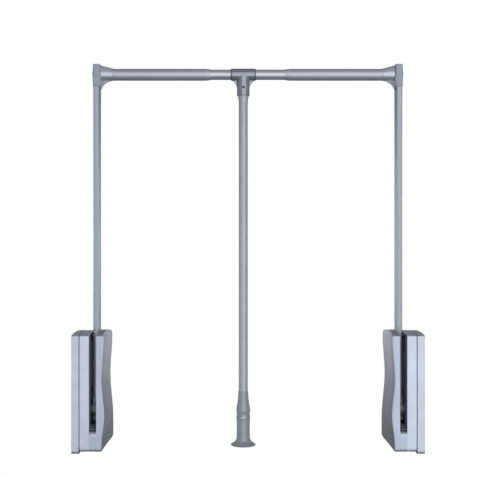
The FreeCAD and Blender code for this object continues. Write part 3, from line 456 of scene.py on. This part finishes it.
cover_screw_x = 0.0185
cover_screw_places = [(0.0625, 0.148), (0.0625, 0.034), (0.0625, -0.0745), (-0.0625, -0.0745)]
fit_both("cover_screw_set",
         [screw((cover_screw_x, y, z), (1, 0, 0), head_radius=0.003, head_height=0.0024,
                shank_radius=0.0013, length=0.0305)
          for y, z in cover_screw_places],
         zinc, "zinc_steel", "housing", "cover_screws")

# ------------------------------------------------------------------ rubber stops
# Moulded grey EPDM rubber. The pad at the foot of the slot stops the lowered arm, and the
# buffer at the top stops the raised one.


def moulded_rubber(name, colour):
    """Dull rubber with bloom: a pale haze in broad patches over a fine matt grain."""
    material, shader = new_material(name, metallic=0.0, specular=0.25)
    bloom = together(material, grain(material, size=0.02, detail=4),
                     grain(material, size=0.0015, detail=2), share=0.5)
    tint(material, shader, bloom, colour, spread=0.25, middle=0.75)
    gloss(material, shader, grain(material, size=0.008, detail=3), low=0.72, high=0.9)
    relief(material, shader, grain(material, size=0.0007, detail=2), depth=0.00004)
    return material


rubber = moulded_rubber("stop_rubber", screen_colour(104, 105, 109))
dress(rubber, "left_slot_pad", "right_slot_pad", "left_rest_buffer", "right_rest_buffer")

# ------------------------------------------------------------------ axles and bearings
# A zinc-plated steel pin carries each arm's hub on two sintered bronze bushes; a spring-steel
# clip in its groove keeps it in.
dress(zinc, "left_axle", "right_axle")


def worked_metal(name, colour, metallic, roughness, lump, depth, spread=0.08):
    """Bare or cast metal: colour clouds and relief at the given lump size."""
    material, shader = new_material(name, metallic, specular=0.4, clear=0.4)
    clouds = together(material, grain(material, size=0.015, detail=3),
                      grain(material, size=lump, detail=2), share=0.7)
    tint(material, shader, clouds, colour, spread, middle=0.85)
    gloss(material, shader, grain(material, size=0.006, detail=3), roughness - 0.07,
          roughness + 0.08)
    relief(material, shader, grain(material, size=lump, detail=2), depth)
    return material


bronze = worked_metal("sintered_bronze", screen_colour(168, 132, 88), metallic=0.9,
                      roughness=0.5, lump=0.0008, depth=0.00002)
clip_steel = worked_metal("blued_spring_steel", screen_colour(92, 94, 98), metallic=0.8,
                          roughness=0.38, lump=0.001, depth=0.000008)
dress(bronze, "left_hub_bushes", "right_hub_bushes")
dress(clip_steel, "left_axle_clip", "right_axle_clip")

# ------------------------------------------------------------------ hubs, racks and guides
# The hub with its toothed sector is a zinc die casting; it lifts the rack, another casting,
# which runs in a black nylon guide and presses on the spring's lower end.
casting = worked_metal("zinc_casting", screen_colour(138, 140, 143), metallic=0.7,
                       roughness=0.52, lump=0.0022, depth=0.00005)
dress(casting, "left_hub", "right_hub", "left_rack", "right_rack")


def greased_nylon(name, colour):
    """Dark nylon with a thin uneven film of grease."""
    material, shader = new_material(name, metallic=0.0, specular=0.4)
    film = together(material, grain(material, size=0.012, detail=4),
                    grain(material, size=0.002, detail=2), share=0.4)
    tint(material, shader, film, colour, spread=0.2, middle=0.7)
    gloss(material, shader, film, low=0.3, high=0.62)
    relief(material, shader, grain(material, size=0.002, detail=2), depth=0.00002)
    return material


nylon = greased_nylon("guide_nylon", screen_colour(58, 58, 60))
dress(nylon, "left_rack_guide", "right_rack_guide")
dress(zinc, "left_spring_seat", "right_spring_seat")

# ------------------------------------------------------------------ lift springs
# One compression spring a side, wound from hard drawn wire, with a closed and ground turn at
# each end. It shortens towards its seat at the housing's top as the rack comes up.
spring_radius = 0.015
wire_radius = 0.002
spring_low, spring_top = (corner.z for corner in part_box("left_spring"))
spring_turns = 13
spring_y = 0.042
arm_plane_x = 0.0455


def wound_spring(centre_x):
    """A circle carried along a helix. The height rises by one wire's thickness over the first
    and the last turn and evenly between them, with the changes of slope blurred; the ends are
    cut flat by limiting the height."""
    steps_per_turn, wire_points, blur = 40, 12, 12
    turn = np.linspace(0, spring_turns, spring_turns * steps_per_turn + 1)
    length = spring_top - spring_low
    height = np.interp(turn, [0, 1, spring_turns - 1, spring_turns],
                       [0, 2 * wire_radius, length - 2 * wire_radius, length])
    window = 2 * blur + 1
    soft = np.convolve(np.pad(height, blur, "edge"), np.ones(window) / window, "valid")
    angle = 2 * np.pi * turn
    coil = spring_radius - wire_radius
    ring = np.linspace(0, 2 * np.pi, wire_points, endpoint=False)[None]
    out = coil + wire_radius * np.cos(ring)
    points = np.stack([centre_x + out * np.cos(angle)[:, None],
                       spring_y + out * np.sin(angle)[:, None],
                       spring_low + soft[:, None] + wire_radius * np.sin(ring)], -1)
    points[..., 2] = np.clip(points[..., 2], spring_low, spring_top)
    ends = points[[0, -1]].mean(1, keepdims=True).repeat(wire_points, 1)
    return np.vstack([ends[:1], points, ends[1:]]), False, True


spring_steel = worked_metal("oiled_spring_wire", screen_colour(112, 114, 118), metallic=0.85,
                            roughness=0.36, lump=0.001, depth=0.000006, spread=0.1)
for side, centre_x in (("left", arm_plane_x), ("right", closet_width - arm_plane_x)):
    spring = skin(f"{side}_lift_spring", [wound_spring(centre_x)])
    fit(spring, spring_steel, "spring_steel", f"{side}_housing", f"{side}_spring")
    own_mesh(spring)

# ------------------------------------------------------------------ dampers
# A small oil damper stands inside each spring and slows the bar on its way up: a painted
# steel cylinder with a rolled mouth, a nylon gland and a chromed rod.
cylinder_low, cylinder_top = (corner.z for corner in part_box("left_damper_cylinder"))
gland_low, gland_top = (corner.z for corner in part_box("left_damper_gland"))
rod_low, rod_top = (corner.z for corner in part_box("left_damper_rod"))
shoulder_z = 0.1579             # the cylinder's end, a hair below the seat
cylinder_radius = 0.0090
cylinder_bore = 0.00725
rolled_in = 0.0086              # radius at the bottom of the groove above the mouth
stud_radius = 0.0040            # of the stud on top and of the piston's rod
lip_radius, plug_radius = 0.0088, 0.0070
lip_top = gland_low + 0.0019
piston_radius = 0.00715
piston_foot = rod_top - 0.005
strut_origin = (arm_plane_x, spring_y, 0)
cylinder_outline = open_eased([
    (cylinder_low, 0, 0), (cylinder_low, cylinder_bore, 0),
    (cylinder_low, cylinder_radius, 0.0006), (cylinder_low + 0.0035, cylinder_radius, 0.0004),
    (cylinder_low + 0.0045, rolled_in, 0.0004), (cylinder_low + 0.0055, cylinder_radius, 0.0004),
    (shoulder_z, cylinder_radius, 0.0008), (shoulder_z, stud_radius, 0),
    (cylinder_top, stud_radius, 0.0004), (cylinder_top, 0, 0)])
gland_outline = open_eased([
    (gland_low, 0, 0), (gland_low, lip_radius, 0.0004), (lip_top, lip_radius, 0.0003),
    (lip_top, plug_radius, 0), (gland_top, plug_radius, 0), (gland_top, 0, 0)])
rod_outline = open_eased([
    (rod_low, 0, 0), (rod_low, stud_radius, 0), (piston_foot, stud_radius, 0),
    (piston_foot, piston_radius, 0), (rod_top, piston_radius, 0), (rod_top, 0, 0)])
damper_paint = worked_metal("damper_paint", screen_colour(70, 72, 76), metallic=0.2,
                            roughness=0.42, lump=0.0012, depth=0.00001)
chrome = worked_metal("chromed_rod", screen_colour(190, 192, 196), metallic=0.95,
                      roughness=0.16, lump=0.001, depth=0.000001, spread=0.02)
fit_both("damper_tube", [turned(cylinder_outline, strut_origin, (0, 0, 1), around=48)],
         damper_paint, "damper_steel", "housing", "damper_cylinder")
fit_both("damper_mouth", [turned(gland_outline, strut_origin, (0, 0, 1), around=48)], nylon,
         "nylon", "housing", "damper_gland")
fit_both("damper_piston_rod", [turned(rod_outline, strut_origin, (0, 0, 1), around=32)], chrome,
         "chromed_rod", "carriage", "damper_rod")

# ------------------------------------------------------------------ swing arms
# Flat-oval aluminium extrusions, satin anodised, with fine die lines along their length. Each
# stands on its hub's tongue and is held there by two cross pins.
arm_low, arm_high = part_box("left_arm")


def rounded_rectangle(x0, x1, y0, y1, radius, steps=6):
    """Closed outline of a rectangle, each corner an arc of the given radius."""
    return eased([(x0, y0, radius), (x1, y0, radius), (x1, y1, radius), (x0, y1, radius)], steps)


def at_height(section, z):
    """The flat outline's points, all lifted to one height."""
    return np.column_stack([section, np.full(len(section), z)])


def arm_profile(wall=0.0015, corner=0.003, burr=0.0002):
    """The section's outer and inner outlines carried straight up, joined across the sawn ends."""
    def section(inset):
        """The outer outline moved inwards by the inset."""
        return rounded_rectangle(arm_low.x + inset, arm_high.x - inset, arm_low.y + inset,
                                 arm_high.y - inset, corner - inset)
    low, high = arm_low.z, arm_high.z
    rings = [at_height(section(burr), low), at_height(section(0), low + burr),
             at_height(section(0), high - burr), at_height(section(burr), high),
             at_height(section(wall), high), at_height(section(wall), low)]
    return np.stack(rings), True, True


def anodised(name, colour, stretch, metallic=0.5, roughness=0.36, specular=0.2, spread=0.03):
    """Satin anodised aluminium: fine die lines along the axis that has the small stretch, a
    slow change of tone, and a gloss that follows the lines."""
    material, shader = new_material(name, metallic, specular, clear=0.1)
    lines = grain(material, size=0.0012, detail=2, stretch=stretch)
    toned = together(material, lines, grain(material, size=0.14, detail=2), share=0.5)
    tint(material, shader, toned, colour, spread, middle=0.75)
    gloss(material, shader, lines, roughness - 0.04, roughness + 0.05)
    relief(material, shader, lines, depth=0.000006)
    relief(material, shader, grain(material, size=0.0004, detail=1), depth=0.000004)
    return material


arm_anodised = anodised("arm_anodised", screen_colour(144, 149, 158), stretch=(1, 1, 0.01))
fit_both("arm_extrusion", [arm_profile()], arm_anodised, "arm_metal", "frame", "arm")
pin_radius, pin_tip_radius, pin_stand_out = 0.0025, 0.0022, 0.0002
arm_width = 0.013
pin_outline = open_eased([
    (-pin_stand_out, 0, 0), (-pin_stand_out, pin_tip_radius, 0.0001),
    (pin_stand_out, pin_radius, 0.0001), (arm_width - pin_stand_out, pin_radius, 0.0001),
    (arm_width + pin_stand_out, pin_tip_radius, 0.0001), (arm_width + pin_stand_out, 0, 0)],
    steps=2)
pin_heights = (0.050, 0.078)
fit_both("arm_cross_pins",
         [turned(pin_outline, (arm_low.x, 0, z), (1, 0, 0), around=32) for z in pin_heights],
         zinc, "zinc_steel", "frame", "arm_pins")

# ------------------------------------------------------------------ elbows
# Each elbow is one silver moulding: a socket over the arm's top, a stub for the bar with a
# sloping ridge above it, and a curved web below. A shallow domed cap closes its outer face.
bar_z = 0.741
elbow_low, elbow_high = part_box("left_elbow")
leg_x0, leg_x1 = elbow_low.x, 0.0543
leg_foot, leg_top = bar_z - 0.028, elbow_high.z
socket_wall_x = 0.0521          # the arm's side of the socket's inner wall
stub_end = 0.0815
stub_radius = 0.0135
ridge_radius = 0.0130
web_root = 0.0129               # below the bar's axis, just inside the round that a web meets
ridge_rise, ridge_fall = 0.0078, 0.0001
remesh_margin = 0.00003         # keeps the rebuilt skin within the solid's depth


def solid_column(x0, x1, half_depth, corner, z0, z1, edge):
    """Rounded rectangle carried up; the last rings draw in along a quarter circle, so that the
    top edge is rounded, and both ends close on their middle."""
    middle = np.array([(x0 + x1) / 2, 0, 0])
    bend = np.linspace(0, np.pi / 2, 6)
    insets = np.concatenate([[0], edge * (1 - np.cos(bend))])
    heights = np.concatenate([[z0], z1 - edge + edge * np.sin(bend)])
    rings = [at_height(rounded_rectangle(x0 + inset, x1 - inset, -half_depth + inset,
                                         half_depth - inset, max(corner - inset, 0.0005)), z)
             for inset, z in zip(insets, heights)]
    foot = np.tile(middle + (0, 0, z0), (len(rings[0]), 1))
    top = np.tile(middle + (0, 0, z1), (len(rings[0]), 1))
    return np.stack([foot, *rings, top]), False, True


def rod_shell(start, end, radius, edge=0.0004):
    """Solid round bar between two points with eased ends."""
    start, end = np.array(start, float), np.array(end, float)
    length = np.linalg.norm(end - start)
    outline = open_eased([(0, 0, 0), (0, radius, edge), (length, radius, edge), (length, 0, 0)])
    return turned(outline, start, (end - start) / length)


def web_shell(corner, reach_x, drop, half_width, bow=0.2):
    """Web in an inner corner. Its free edge is an arc from the end of the reach to the end of
    the drop, bowed towards the corner; a section across it is a rectangle."""
    corner = np.array(corner, float)
    side = corner + (reach_x, 0, 0)
    foot = corner - (0, 0, drop)
    chord = foot - side
    inward = corner - (side + foot) / 2
    inward /= np.linalg.norm(inward)
    share = np.linspace(0, 1, 33)[:, None]
    arc = side + share * chord + 4 * share * (1 - share) * inward * np.linalg.norm(chord) * bow
    across = np.array([0, half_width, 0])
    root = np.tile(corner, (33, 1))
    rings = np.stack([root + across, arc + across, arc - across, root - across], 1)
    ends = rings[[0, -1]].mean(1, keepdims=True).repeat(4, 1)
    return np.vstack([ends[:1], rings, ends[1:]]), False, True


def run_together(name, shells, cell, rounds):
    """Several closed shells made one moulding: their union is rebuilt in cells of one size,
    then each point moves half way to the middle of its neighbours a few times, which leaves a
    small fillet where two shells met."""
    piece = skin(name, shells)
    piece.modifiers.clear()
    union = piece.modifiers.new("union", "REMESH")
    union.mode = "VOXEL"
    union.voxel_size = cell
    easing = piece.modifiers.new("easing", "SMOOTH")
    easing.factor = 0.5
    easing.iterations = rounds
    graph = bpy.context.evaluated_depsgraph_get()
    mesh = bpy.data.meshes.new_from_object(piece.evaluated_get(graph))
    piece.modifiers.clear()
    piece.data = mesh
    mesh.shade_smooth()
    return piece


elbow_shells = [
    solid_column(leg_x0, leg_x1, elbow_high.y - remesh_margin, corner=0.0035, z0=leg_foot,
                 z1=leg_top, edge=0.0012),
    rod_shell((0.046, 0, bar_z), (stub_end, 0, bar_z), stub_radius),
    rod_shell((socket_wall_x, 0, bar_z + ridge_rise), (stub_end, 0, bar_z - ridge_fall),
              ridge_radius),
    web_shell((socket_wall_x, 0, bar_z - web_root), reach_x=stub_end - socket_wall_x, drop=0.0311,
              half_width=0.0032)]
elbow_finish = silver_moulding("elbow_silver", screen_colour(172, 178, 187), roughness=0.30)
cap_finish = silver_moulding("elbow_cap_silver", screen_colour(146, 150, 158))


def eroded_share(points, wall_x):
    """How coarsely each point of the elbow is spark-eroded: not at all on the stub's polished
    round, fully on the socket and on the ridge and the web, which stand further from the bar's
    axis. Wall_x is where the closet's side wall is."""
    clear_of_round, round_fade, socket_fade = 0.00005, 0.00015, 0.0012
    off_axis = np.hypot(points[:, 1], points[:, 2] - bar_z)
    past_round = np.clip((off_axis - stub_radius - clear_of_round) / round_fade, 0, 1)
    in_socket = np.clip((leg_x1 - np.abs(points[:, 0] - wall_x)) / socket_fade + 0.5, 0, 1)
    return np.maximum(past_round, in_socket)


def rougher_where(material, shader, attribute, roughness):
    """Runs from the material's own gloss to the given roughness as the mesh's attribute rises."""
    nodes, links = material.node_tree.nodes, material.node_tree.links
    eroded = nodes.new("ShaderNodeAttribute")
    eroded.attribute_name = attribute
    rough = nodes.new("ShaderNodeMix")
    rough.inputs["B"].default_value = roughness
    links.new(eroded.outputs["Fac"], rough.inputs["Factor"])
    links.new(shader.inputs["Roughness"].links[0].from_socket, rough.inputs["A"])
    links.new(rough.outputs["Result"], shader.inputs["Roughness"])


rougher_where(elbow_finish, elbow_finish.node_tree.nodes["Principled BSDF"], "eroded",
              roughness=0.8)
for side, wall_x, shells in (("left", 0, elbow_shells),
                             ("right", closet_width, mirrored(elbow_shells))):
    elbow = run_together(f"{side}_elbow_moulding", shells, cell=0.0006, rounds=6)
    points = np.empty(len(elbow.data.vertices) * 3)
    elbow.data.vertices.foreach_get("co", points)
    eroded = elbow.data.attributes.new("eroded", "FLOAT", "POINT")
    eroded.data.foreach_set("value", eroded_share(points.reshape(-1, 3), wall_x))
    fit(elbow, elbow_finish, "elbow_plastic", f"{side}_frame", f"{side}_elbow")

cap_radius, dome_radius = 0.0155, 0.0153
dome_start, dome_rise, cap_depth = 0.0002, 0.0019, 0.00275
cap_share = np.linspace(0, 1, 16)
cap_dome = np.stack([dome_start + dome_rise * cap_share ** 2.2, dome_radius * cap_share], 1)
cap_edge = open_eased([(dome_start + dome_rise, dome_radius, 0), (0.0022, cap_radius, 0),
                       (cap_depth, cap_radius, 0.0002), (cap_depth, 0, 0)], steps=2)
fit_both("elbow_end_cap",
         [turned(np.vstack([cap_dome, cap_edge[1:]]), (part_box("left_elbow_cap")[0].x, 0, bar_z),
                 (1, 0, 0))],
         cap_finish, "elbow_plastic", "frame", "elbow_cap")
elbow_screw = {"head_radius": 0.0034, "head_height": 0.0018, "shank_radius": 0.0016,
               "length": 0.0088}
elbow_screw_faces = [(arm_plane_x, elbow_high.y + elbow_screw["head_height"], bar_z - 0.0155),
                     (0.094, 0.0148, bar_z)]
fit_both("elbow_screw_pair",
         [screw(face, (0, -1, 0), **elbow_screw) for face in elbow_screw_faces],
         zinc, "zinc_steel", "frame", "elbow_screws")

# ------------------------------------------------------------------ outer bar tubes
# Drawn aluminium tube, satin anodised, pushed over each elbow's spigot; a tapered bush in its
# free end guides the thinner tube that slides in it.
bar_start, bar_end = (corner.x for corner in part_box("left_bar_tube"))
bar_axis_origin = (0, 0, bar_z)
bar_radius, bar_bore = 0.013, 0.012
end_clear = 0.0001              # keeps the tube's ends off the elbow and the bush


def tube_outline(start, end, outer, inner, edge=0.0002):
    """A tube's wall in (along, out): a rectangle from the bore to the outer radius, with its
    outer edges rounded and its inner ones half as much."""
    return eased([(start, inner, edge / 2), (start, outer, edge), (end, outer, edge),
                  (end, inner, edge / 2)], steps=3)


bar_anodised = anodised("bar_anodised", screen_colour(168, 173, 182), stretch=(0.01, 1, 1),
                        roughness=0.42)
fit_both("bar_outer_tube",
         [turned(tube_outline(bar_start + end_clear, bar_end - end_clear, bar_radius, bar_bore),
                 bar_axis_origin, (1, 0, 0), around=96)],
         bar_anodised, "bar_metal", "frame", "bar_tube")

bush_start, bush_end = (corner.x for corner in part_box("left_bar_bush"))
bush_bore, sleeve_radius, nose_radius, nose_tip = 0.01138, 0.01194, 0.01295, 0.0119
bush_outline = eased([(bush_start, bush_bore, 0), (bush_start, sleeve_radius, 0),
                      (bar_end, sleeve_radius, 0), (bar_end, nose_radius, 0.0002),
                      (bush_end, nose_tip, 0.0003), (bush_end, bush_bore, 0)], steps=3)
bush_finish = silver_moulding("bush_silver", screen_colour(172, 177, 186))
fit_both("bar_glide_bush", [turned(bush_outline, bar_axis_origin, (1, 0, 0), around=96)],
         bush_finish, "bush_plastic", "frame", "bar_bush")

# ------------------------------------------------------------------ inner bar tube
# The thinner tube that slides in both outer ones and sets the width; bright anodised, with
# plugs in its ends.
inner_start, inner_end = (corner.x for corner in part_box("inner_tube"))
inner_radius, inner_bore = 0.0113, 0.0101
inner_anodised = anodised("inner_tube_anodised", screen_colour(176, 180, 188),
                          stretch=(0.01, 1, 1), roughness=0.3)
inner_tube = skin("bar_inner_tube",
                  [turned(tube_outline(inner_start, inner_end, inner_radius, inner_bore),
                          bar_axis_origin, (1, 0, 0), around=96)])
fit(inner_tube, inner_anodised, "inner_tube_metal", "slide_bar", "inner_tube")
dress(bush_finish, "inner_tube_plugs")

# ------------------------------------------------------------------ tee
# A grey moulding that turns on the inner tube and carries the pull rod. Two snap rings keep it
# in its place; a small screw through the leg holds the rod.
tee_low, tee_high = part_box("tee")
tee_edge = 0.0008
tee_radius = 0.0135
web_start = 0.0134              # out from the leg's axis, just inside the leg's round
sleeve_outline = open_eased([
    (tee_low.x, 0, 0), (tee_low.x, tee_radius - tee_edge, 0),
    (tee_low.x + tee_edge, tee_radius, 0), (tee_high.x - tee_edge, tee_radius, 0),
    (tee_high.x, tee_radius - tee_edge, 0), (tee_high.x, 0, 0)])
tee_shells = [turned(sleeve_outline, bar_axis_origin, (1, 0, 0)),
              rod_shell((tee_x, 0, tee_low.z), (tee_x, 0, bar_z), radius=0.0140, edge=0.0005)]
for way in (1, -1):
    web_corner = (tee_x + way * web_start, 0, bar_z - web_root)
    tee_shells.append(web_shell(web_corner, reach_x=way * 0.0117, drop=0.0186,
                                half_width=0.0030, bow=0.13))
tee = run_together("tee_moulding", tee_shells, cell=0.0005, rounds=4)
tee_screw_z = bar_z - 0.0293


def sink(piece, centre_x, centre_z, radius, floor_y):
    """Round pocket in a front face: points within the radius go back to the pocket's floor, and
    fewer and fewer of them over the width of its edge."""
    edge_width = 0.0006
    points = np.empty(len(piece.data.vertices) * 3)
    piece.data.vertices.foreach_get("co", points)
    points = points.reshape(-1, 3)
    near = np.hypot(points[:, 0] - centre_x, points[:, 2] - centre_z)
    share = np.clip((radius + edge_width / 2 - near) / edge_width, 0, 1)
    front = points[:, 1] < floor_y
    points[:, 1] = np.where(front, points[:, 1] + (floor_y - points[:, 1]) * share,
                            points[:, 1])
    piece.data.vertices.foreach_set("co", points.ravel())
    piece.data.update()


sink(tee, tee_x, tee_screw_z, radius=0.0026, floor_y=-0.01175)
tee_grey = silver_moulding("tee_grey", screen_colour(136, 141, 149), roughness=0.20)
fit(tee, tee_grey, "tee_plastic", "pull_rod", "tee")

tee_screw = skin("tee_pan_screw", [screw((tee_x, -0.01315, tee_screw_z), (0, 1, 0),
                                         head_radius=0.0024, head_height=0.0014,
                                         shank_radius=0.0016, length=0.0060)])
fit(tee_screw, dark_screw, "zinc_steel", "pull_rod", "tee_screw")

ring_gap, half_ring, ring_radius = 0.0003, 0.00075, 0.0132
ring_centres = (tee_low.x - ring_gap - half_ring, tee_high.x + ring_gap + half_ring)
ring_outline = tube_outline(-half_ring, half_ring, ring_radius, inner_radius, edge=0.0004)
dark_moulding = greased_nylon("ring_nylon", screen_colour(72, 73, 75))
tee_rings = skin("tee_snap_rings", [turned(ring_outline, (x, 0, bar_z), (1, 0, 0))
                                    for x in ring_centres])
fit(tee_rings, dark_moulding, "dark_plastic", "slide_bar", "tee_rings")

# ------------------------------------------------------------------ pull rod
# A long drawn aluminium tube, satin anodised, held in the tee by the tee's small screw. A
# tapered ferrule moulded in silver closes the step where the tube enters the tee.
rod_foot, rod_head = (corner.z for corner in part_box("pull_tube"))
ferrule_foot, ferrule_top = (corner.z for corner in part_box("rod_ferrule"))
foot_radius, ferrule_flare, hollow, ferrule_bore = 0.0104, 0.0022, 0.0028, 0.01005
up = np.linspace(0, 1, 12)
ferrule_side = np.stack([ferrule_foot + (ferrule_top - ferrule_foot) * up,
                         foot_radius + ferrule_flare * up - hollow * up * (1 - up)], 1)
ferrule_outline = np.vstack([ferrule_side,
                             [(ferrule_top, ferrule_bore), (ferrule_foot, ferrule_bore)]])
ferrule_finish = silver_moulding("ferrule_silver", screen_colour(160, 164, 173))
ferrule = skin("rod_top_ferrule", [turned(ferrule_outline, (tee_x, 0, 0), (0, 0, 1))])
fit(ferrule, ferrule_finish, "bush_plastic", "pull_rod", "rod_ferrule")

rod_radius, rod_bore = 0.0100, 0.0088
rod_anodised = anodised("rod_anodised", screen_colour(150, 155, 163), stretch=(1, 1, 0.01),
                        metallic=0.3)
pull_tube = skin("rod_tube", [turned(tube_outline(rod_foot, rod_head, rod_radius, rod_bore),
                                     (tee_x, 0, 0), (0, 0, 1), around=96)])
fit(pull_tube, rod_anodised, "rod_metal", "pull_rod", "pull_tube")

# ------------------------------------------------------------------ grip
# A silver moulded handle on the foot of the rod, with a ring shoulder to pull down on and a
# flared foot to push up with. An oval cap hides its screw, and a round plug closes it below.


def smooth_line(knots, first_slope, last_slope, steps):
    """Curve through (height, radius) knots: a cubic between each two, with matching slopes
    that are the mean of the slopes of the two chords that meet there."""
    knots = np.asarray(knots, float)
    chords = np.diff(knots[:, 1]) / np.diff(knots[:, 0])
    slopes = np.concatenate([[first_slope], (chords[:-1] + chords[1:]) / 2, [last_slope]])
    pieces = []
    for k in range(len(knots) - 1):
        s = np.linspace(0, 1, steps + 1)
        width = knots[k + 1, 0] - knots[k, 0]
        radius = ((2 * s ** 3 - 3 * s ** 2 + 1) * knots[k, 1]
                  + (s ** 3 - 2 * s ** 2 + s) * width * slopes[k]
                  + (3 * s ** 2 - 2 * s ** 3) * knots[k + 1, 1]
                  + (s ** 3 - s ** 2) * width * slopes[k + 1])
        pieces.append(np.stack([knots[k, 0] + s * width, radius], 1)[k > 0:])
    return np.vstack(pieces)


grip_top, flare_top, rim_top = 0.038, -0.063, -0.0794
handle_radius, rim_radius = 0.0147, 0.0273
grip_upper = smooth_line([(grip_top, 0.0110), (0.016, 0.0124), (-0.003, 0.0154),
                          (-0.0125, 0.0144), (-0.019, 0.0153), (-0.027, handle_radius),
                          (flare_top, handle_radius)], first_slope=0, last_slope=0, steps=10)
flare_share = np.linspace(0, 1, 14)[1:]
grip_flare = np.stack([flare_top + (rim_top - flare_top) * flare_share ** 0.62,
                       handle_radius + (rim_radius - handle_radius) * flare_share ** 1.5], 1)
grip_rim = np.array([(-0.0800, 0.0274), (-0.0807, rim_radius), (-0.0813, 0.0268),
                     (-0.0816, 0.0262)])
grip_inside = np.array([(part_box("grip")[0].z, 0.0100), (-0.0750, 0.0099), (-0.0740, 0.0)])
grip_top_closed = np.array([(grip_top, 0.0), (grip_top, 0.01005)])
grip_outline = np.vstack([grip_top_closed, grip_upper, grip_flare, grip_rim, grip_inside])
grip = skin("pull_grip", [turned(grip_outline, (tee_x, 0, 0), (0, 0, 1), around=96)])
grip_silver = silver_moulding("grip_silver", screen_colour(123, 129, 137), metallic=0.15,
                              roughness=0.26, specular=0.5, clear=1.0)
fit(grip, grip_silver, "grip_plastic", "pull_rod", "grip")


def oval_cap(centre_x, centre_z, front_y, half_width, half_height, depth):
    """Domed oval: an outline of (share of the half sizes, depth behind the front) carried round
    an ellipse."""
    share = np.linspace(0, 1, 10)
    dome = np.stack([0.9 * share, 0.0005 * share ** 2.5], 1)
    side = np.array([(0.97, 0.0008), (1.0, 0.0012), (1.0, depth), (0.0, depth)])
    outline = np.vstack([dome, side])
    turn = np.linspace(0, 2 * np.pi, 64, endpoint=False)[None]
    points = np.stack([centre_x + half_width * outline[:, :1] * np.cos(turn),
                       front_y + np.repeat(outline[:, 1:], 64, 1),
                       centre_z + half_height * outline[:, :1] * np.sin(turn)], -1)
    return points, False, True


cap_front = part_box("grip_screw_cap")[0].y
screw_cap = skin("grip_oval_cap", [oval_cap(tee_x, -0.019, cap_front, half_width=0.006,
                                            half_height=0.004, depth=0.0039)])
grip_cap_finish = silver_moulding("grip_cap_silver", screen_colour(152, 158, 167),
                                  metallic=0.4, roughness=0.36)
fit(screw_cap, grip_cap_finish, "grip_plastic", "pull_rod", "grip_screw_cap")

plug_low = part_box("grip_end_cap")[0].z
plug_disc_top, plug_top = -0.08161, -0.0745
disc_radius, shank_radius = 0.0167, 0.0097
plug_outline = open_eased([(plug_low, 0, 0), (plug_low, disc_radius, 0.0009),
                           (plug_disc_top, disc_radius, 0.0002),
                           (plug_disc_top, shank_radius, 0), (plug_top, shank_radius, 0),
                           (plug_top, 0, 0)])
end_cap = skin("grip_foot_plug", [turned(plug_outline, (tee_x, 0, 0), (0, 0, 1))])
fit(end_cap, grip_cap_finish, "grip_cap_plastic", "pull_rod", "grip_end_cap")

# The rod and the grip take the edge lights and are kept out of the inside lights.
for piece in (pull_tube, grip, screw_cap, end_cap):
    lit_on_edges.objects.link(piece)
    shaded_from_sides.objects.link(piece)
for receiver in shaded_from_sides.collection_objects:
    receiver.light_linking.link_state = "EXCLUDE"
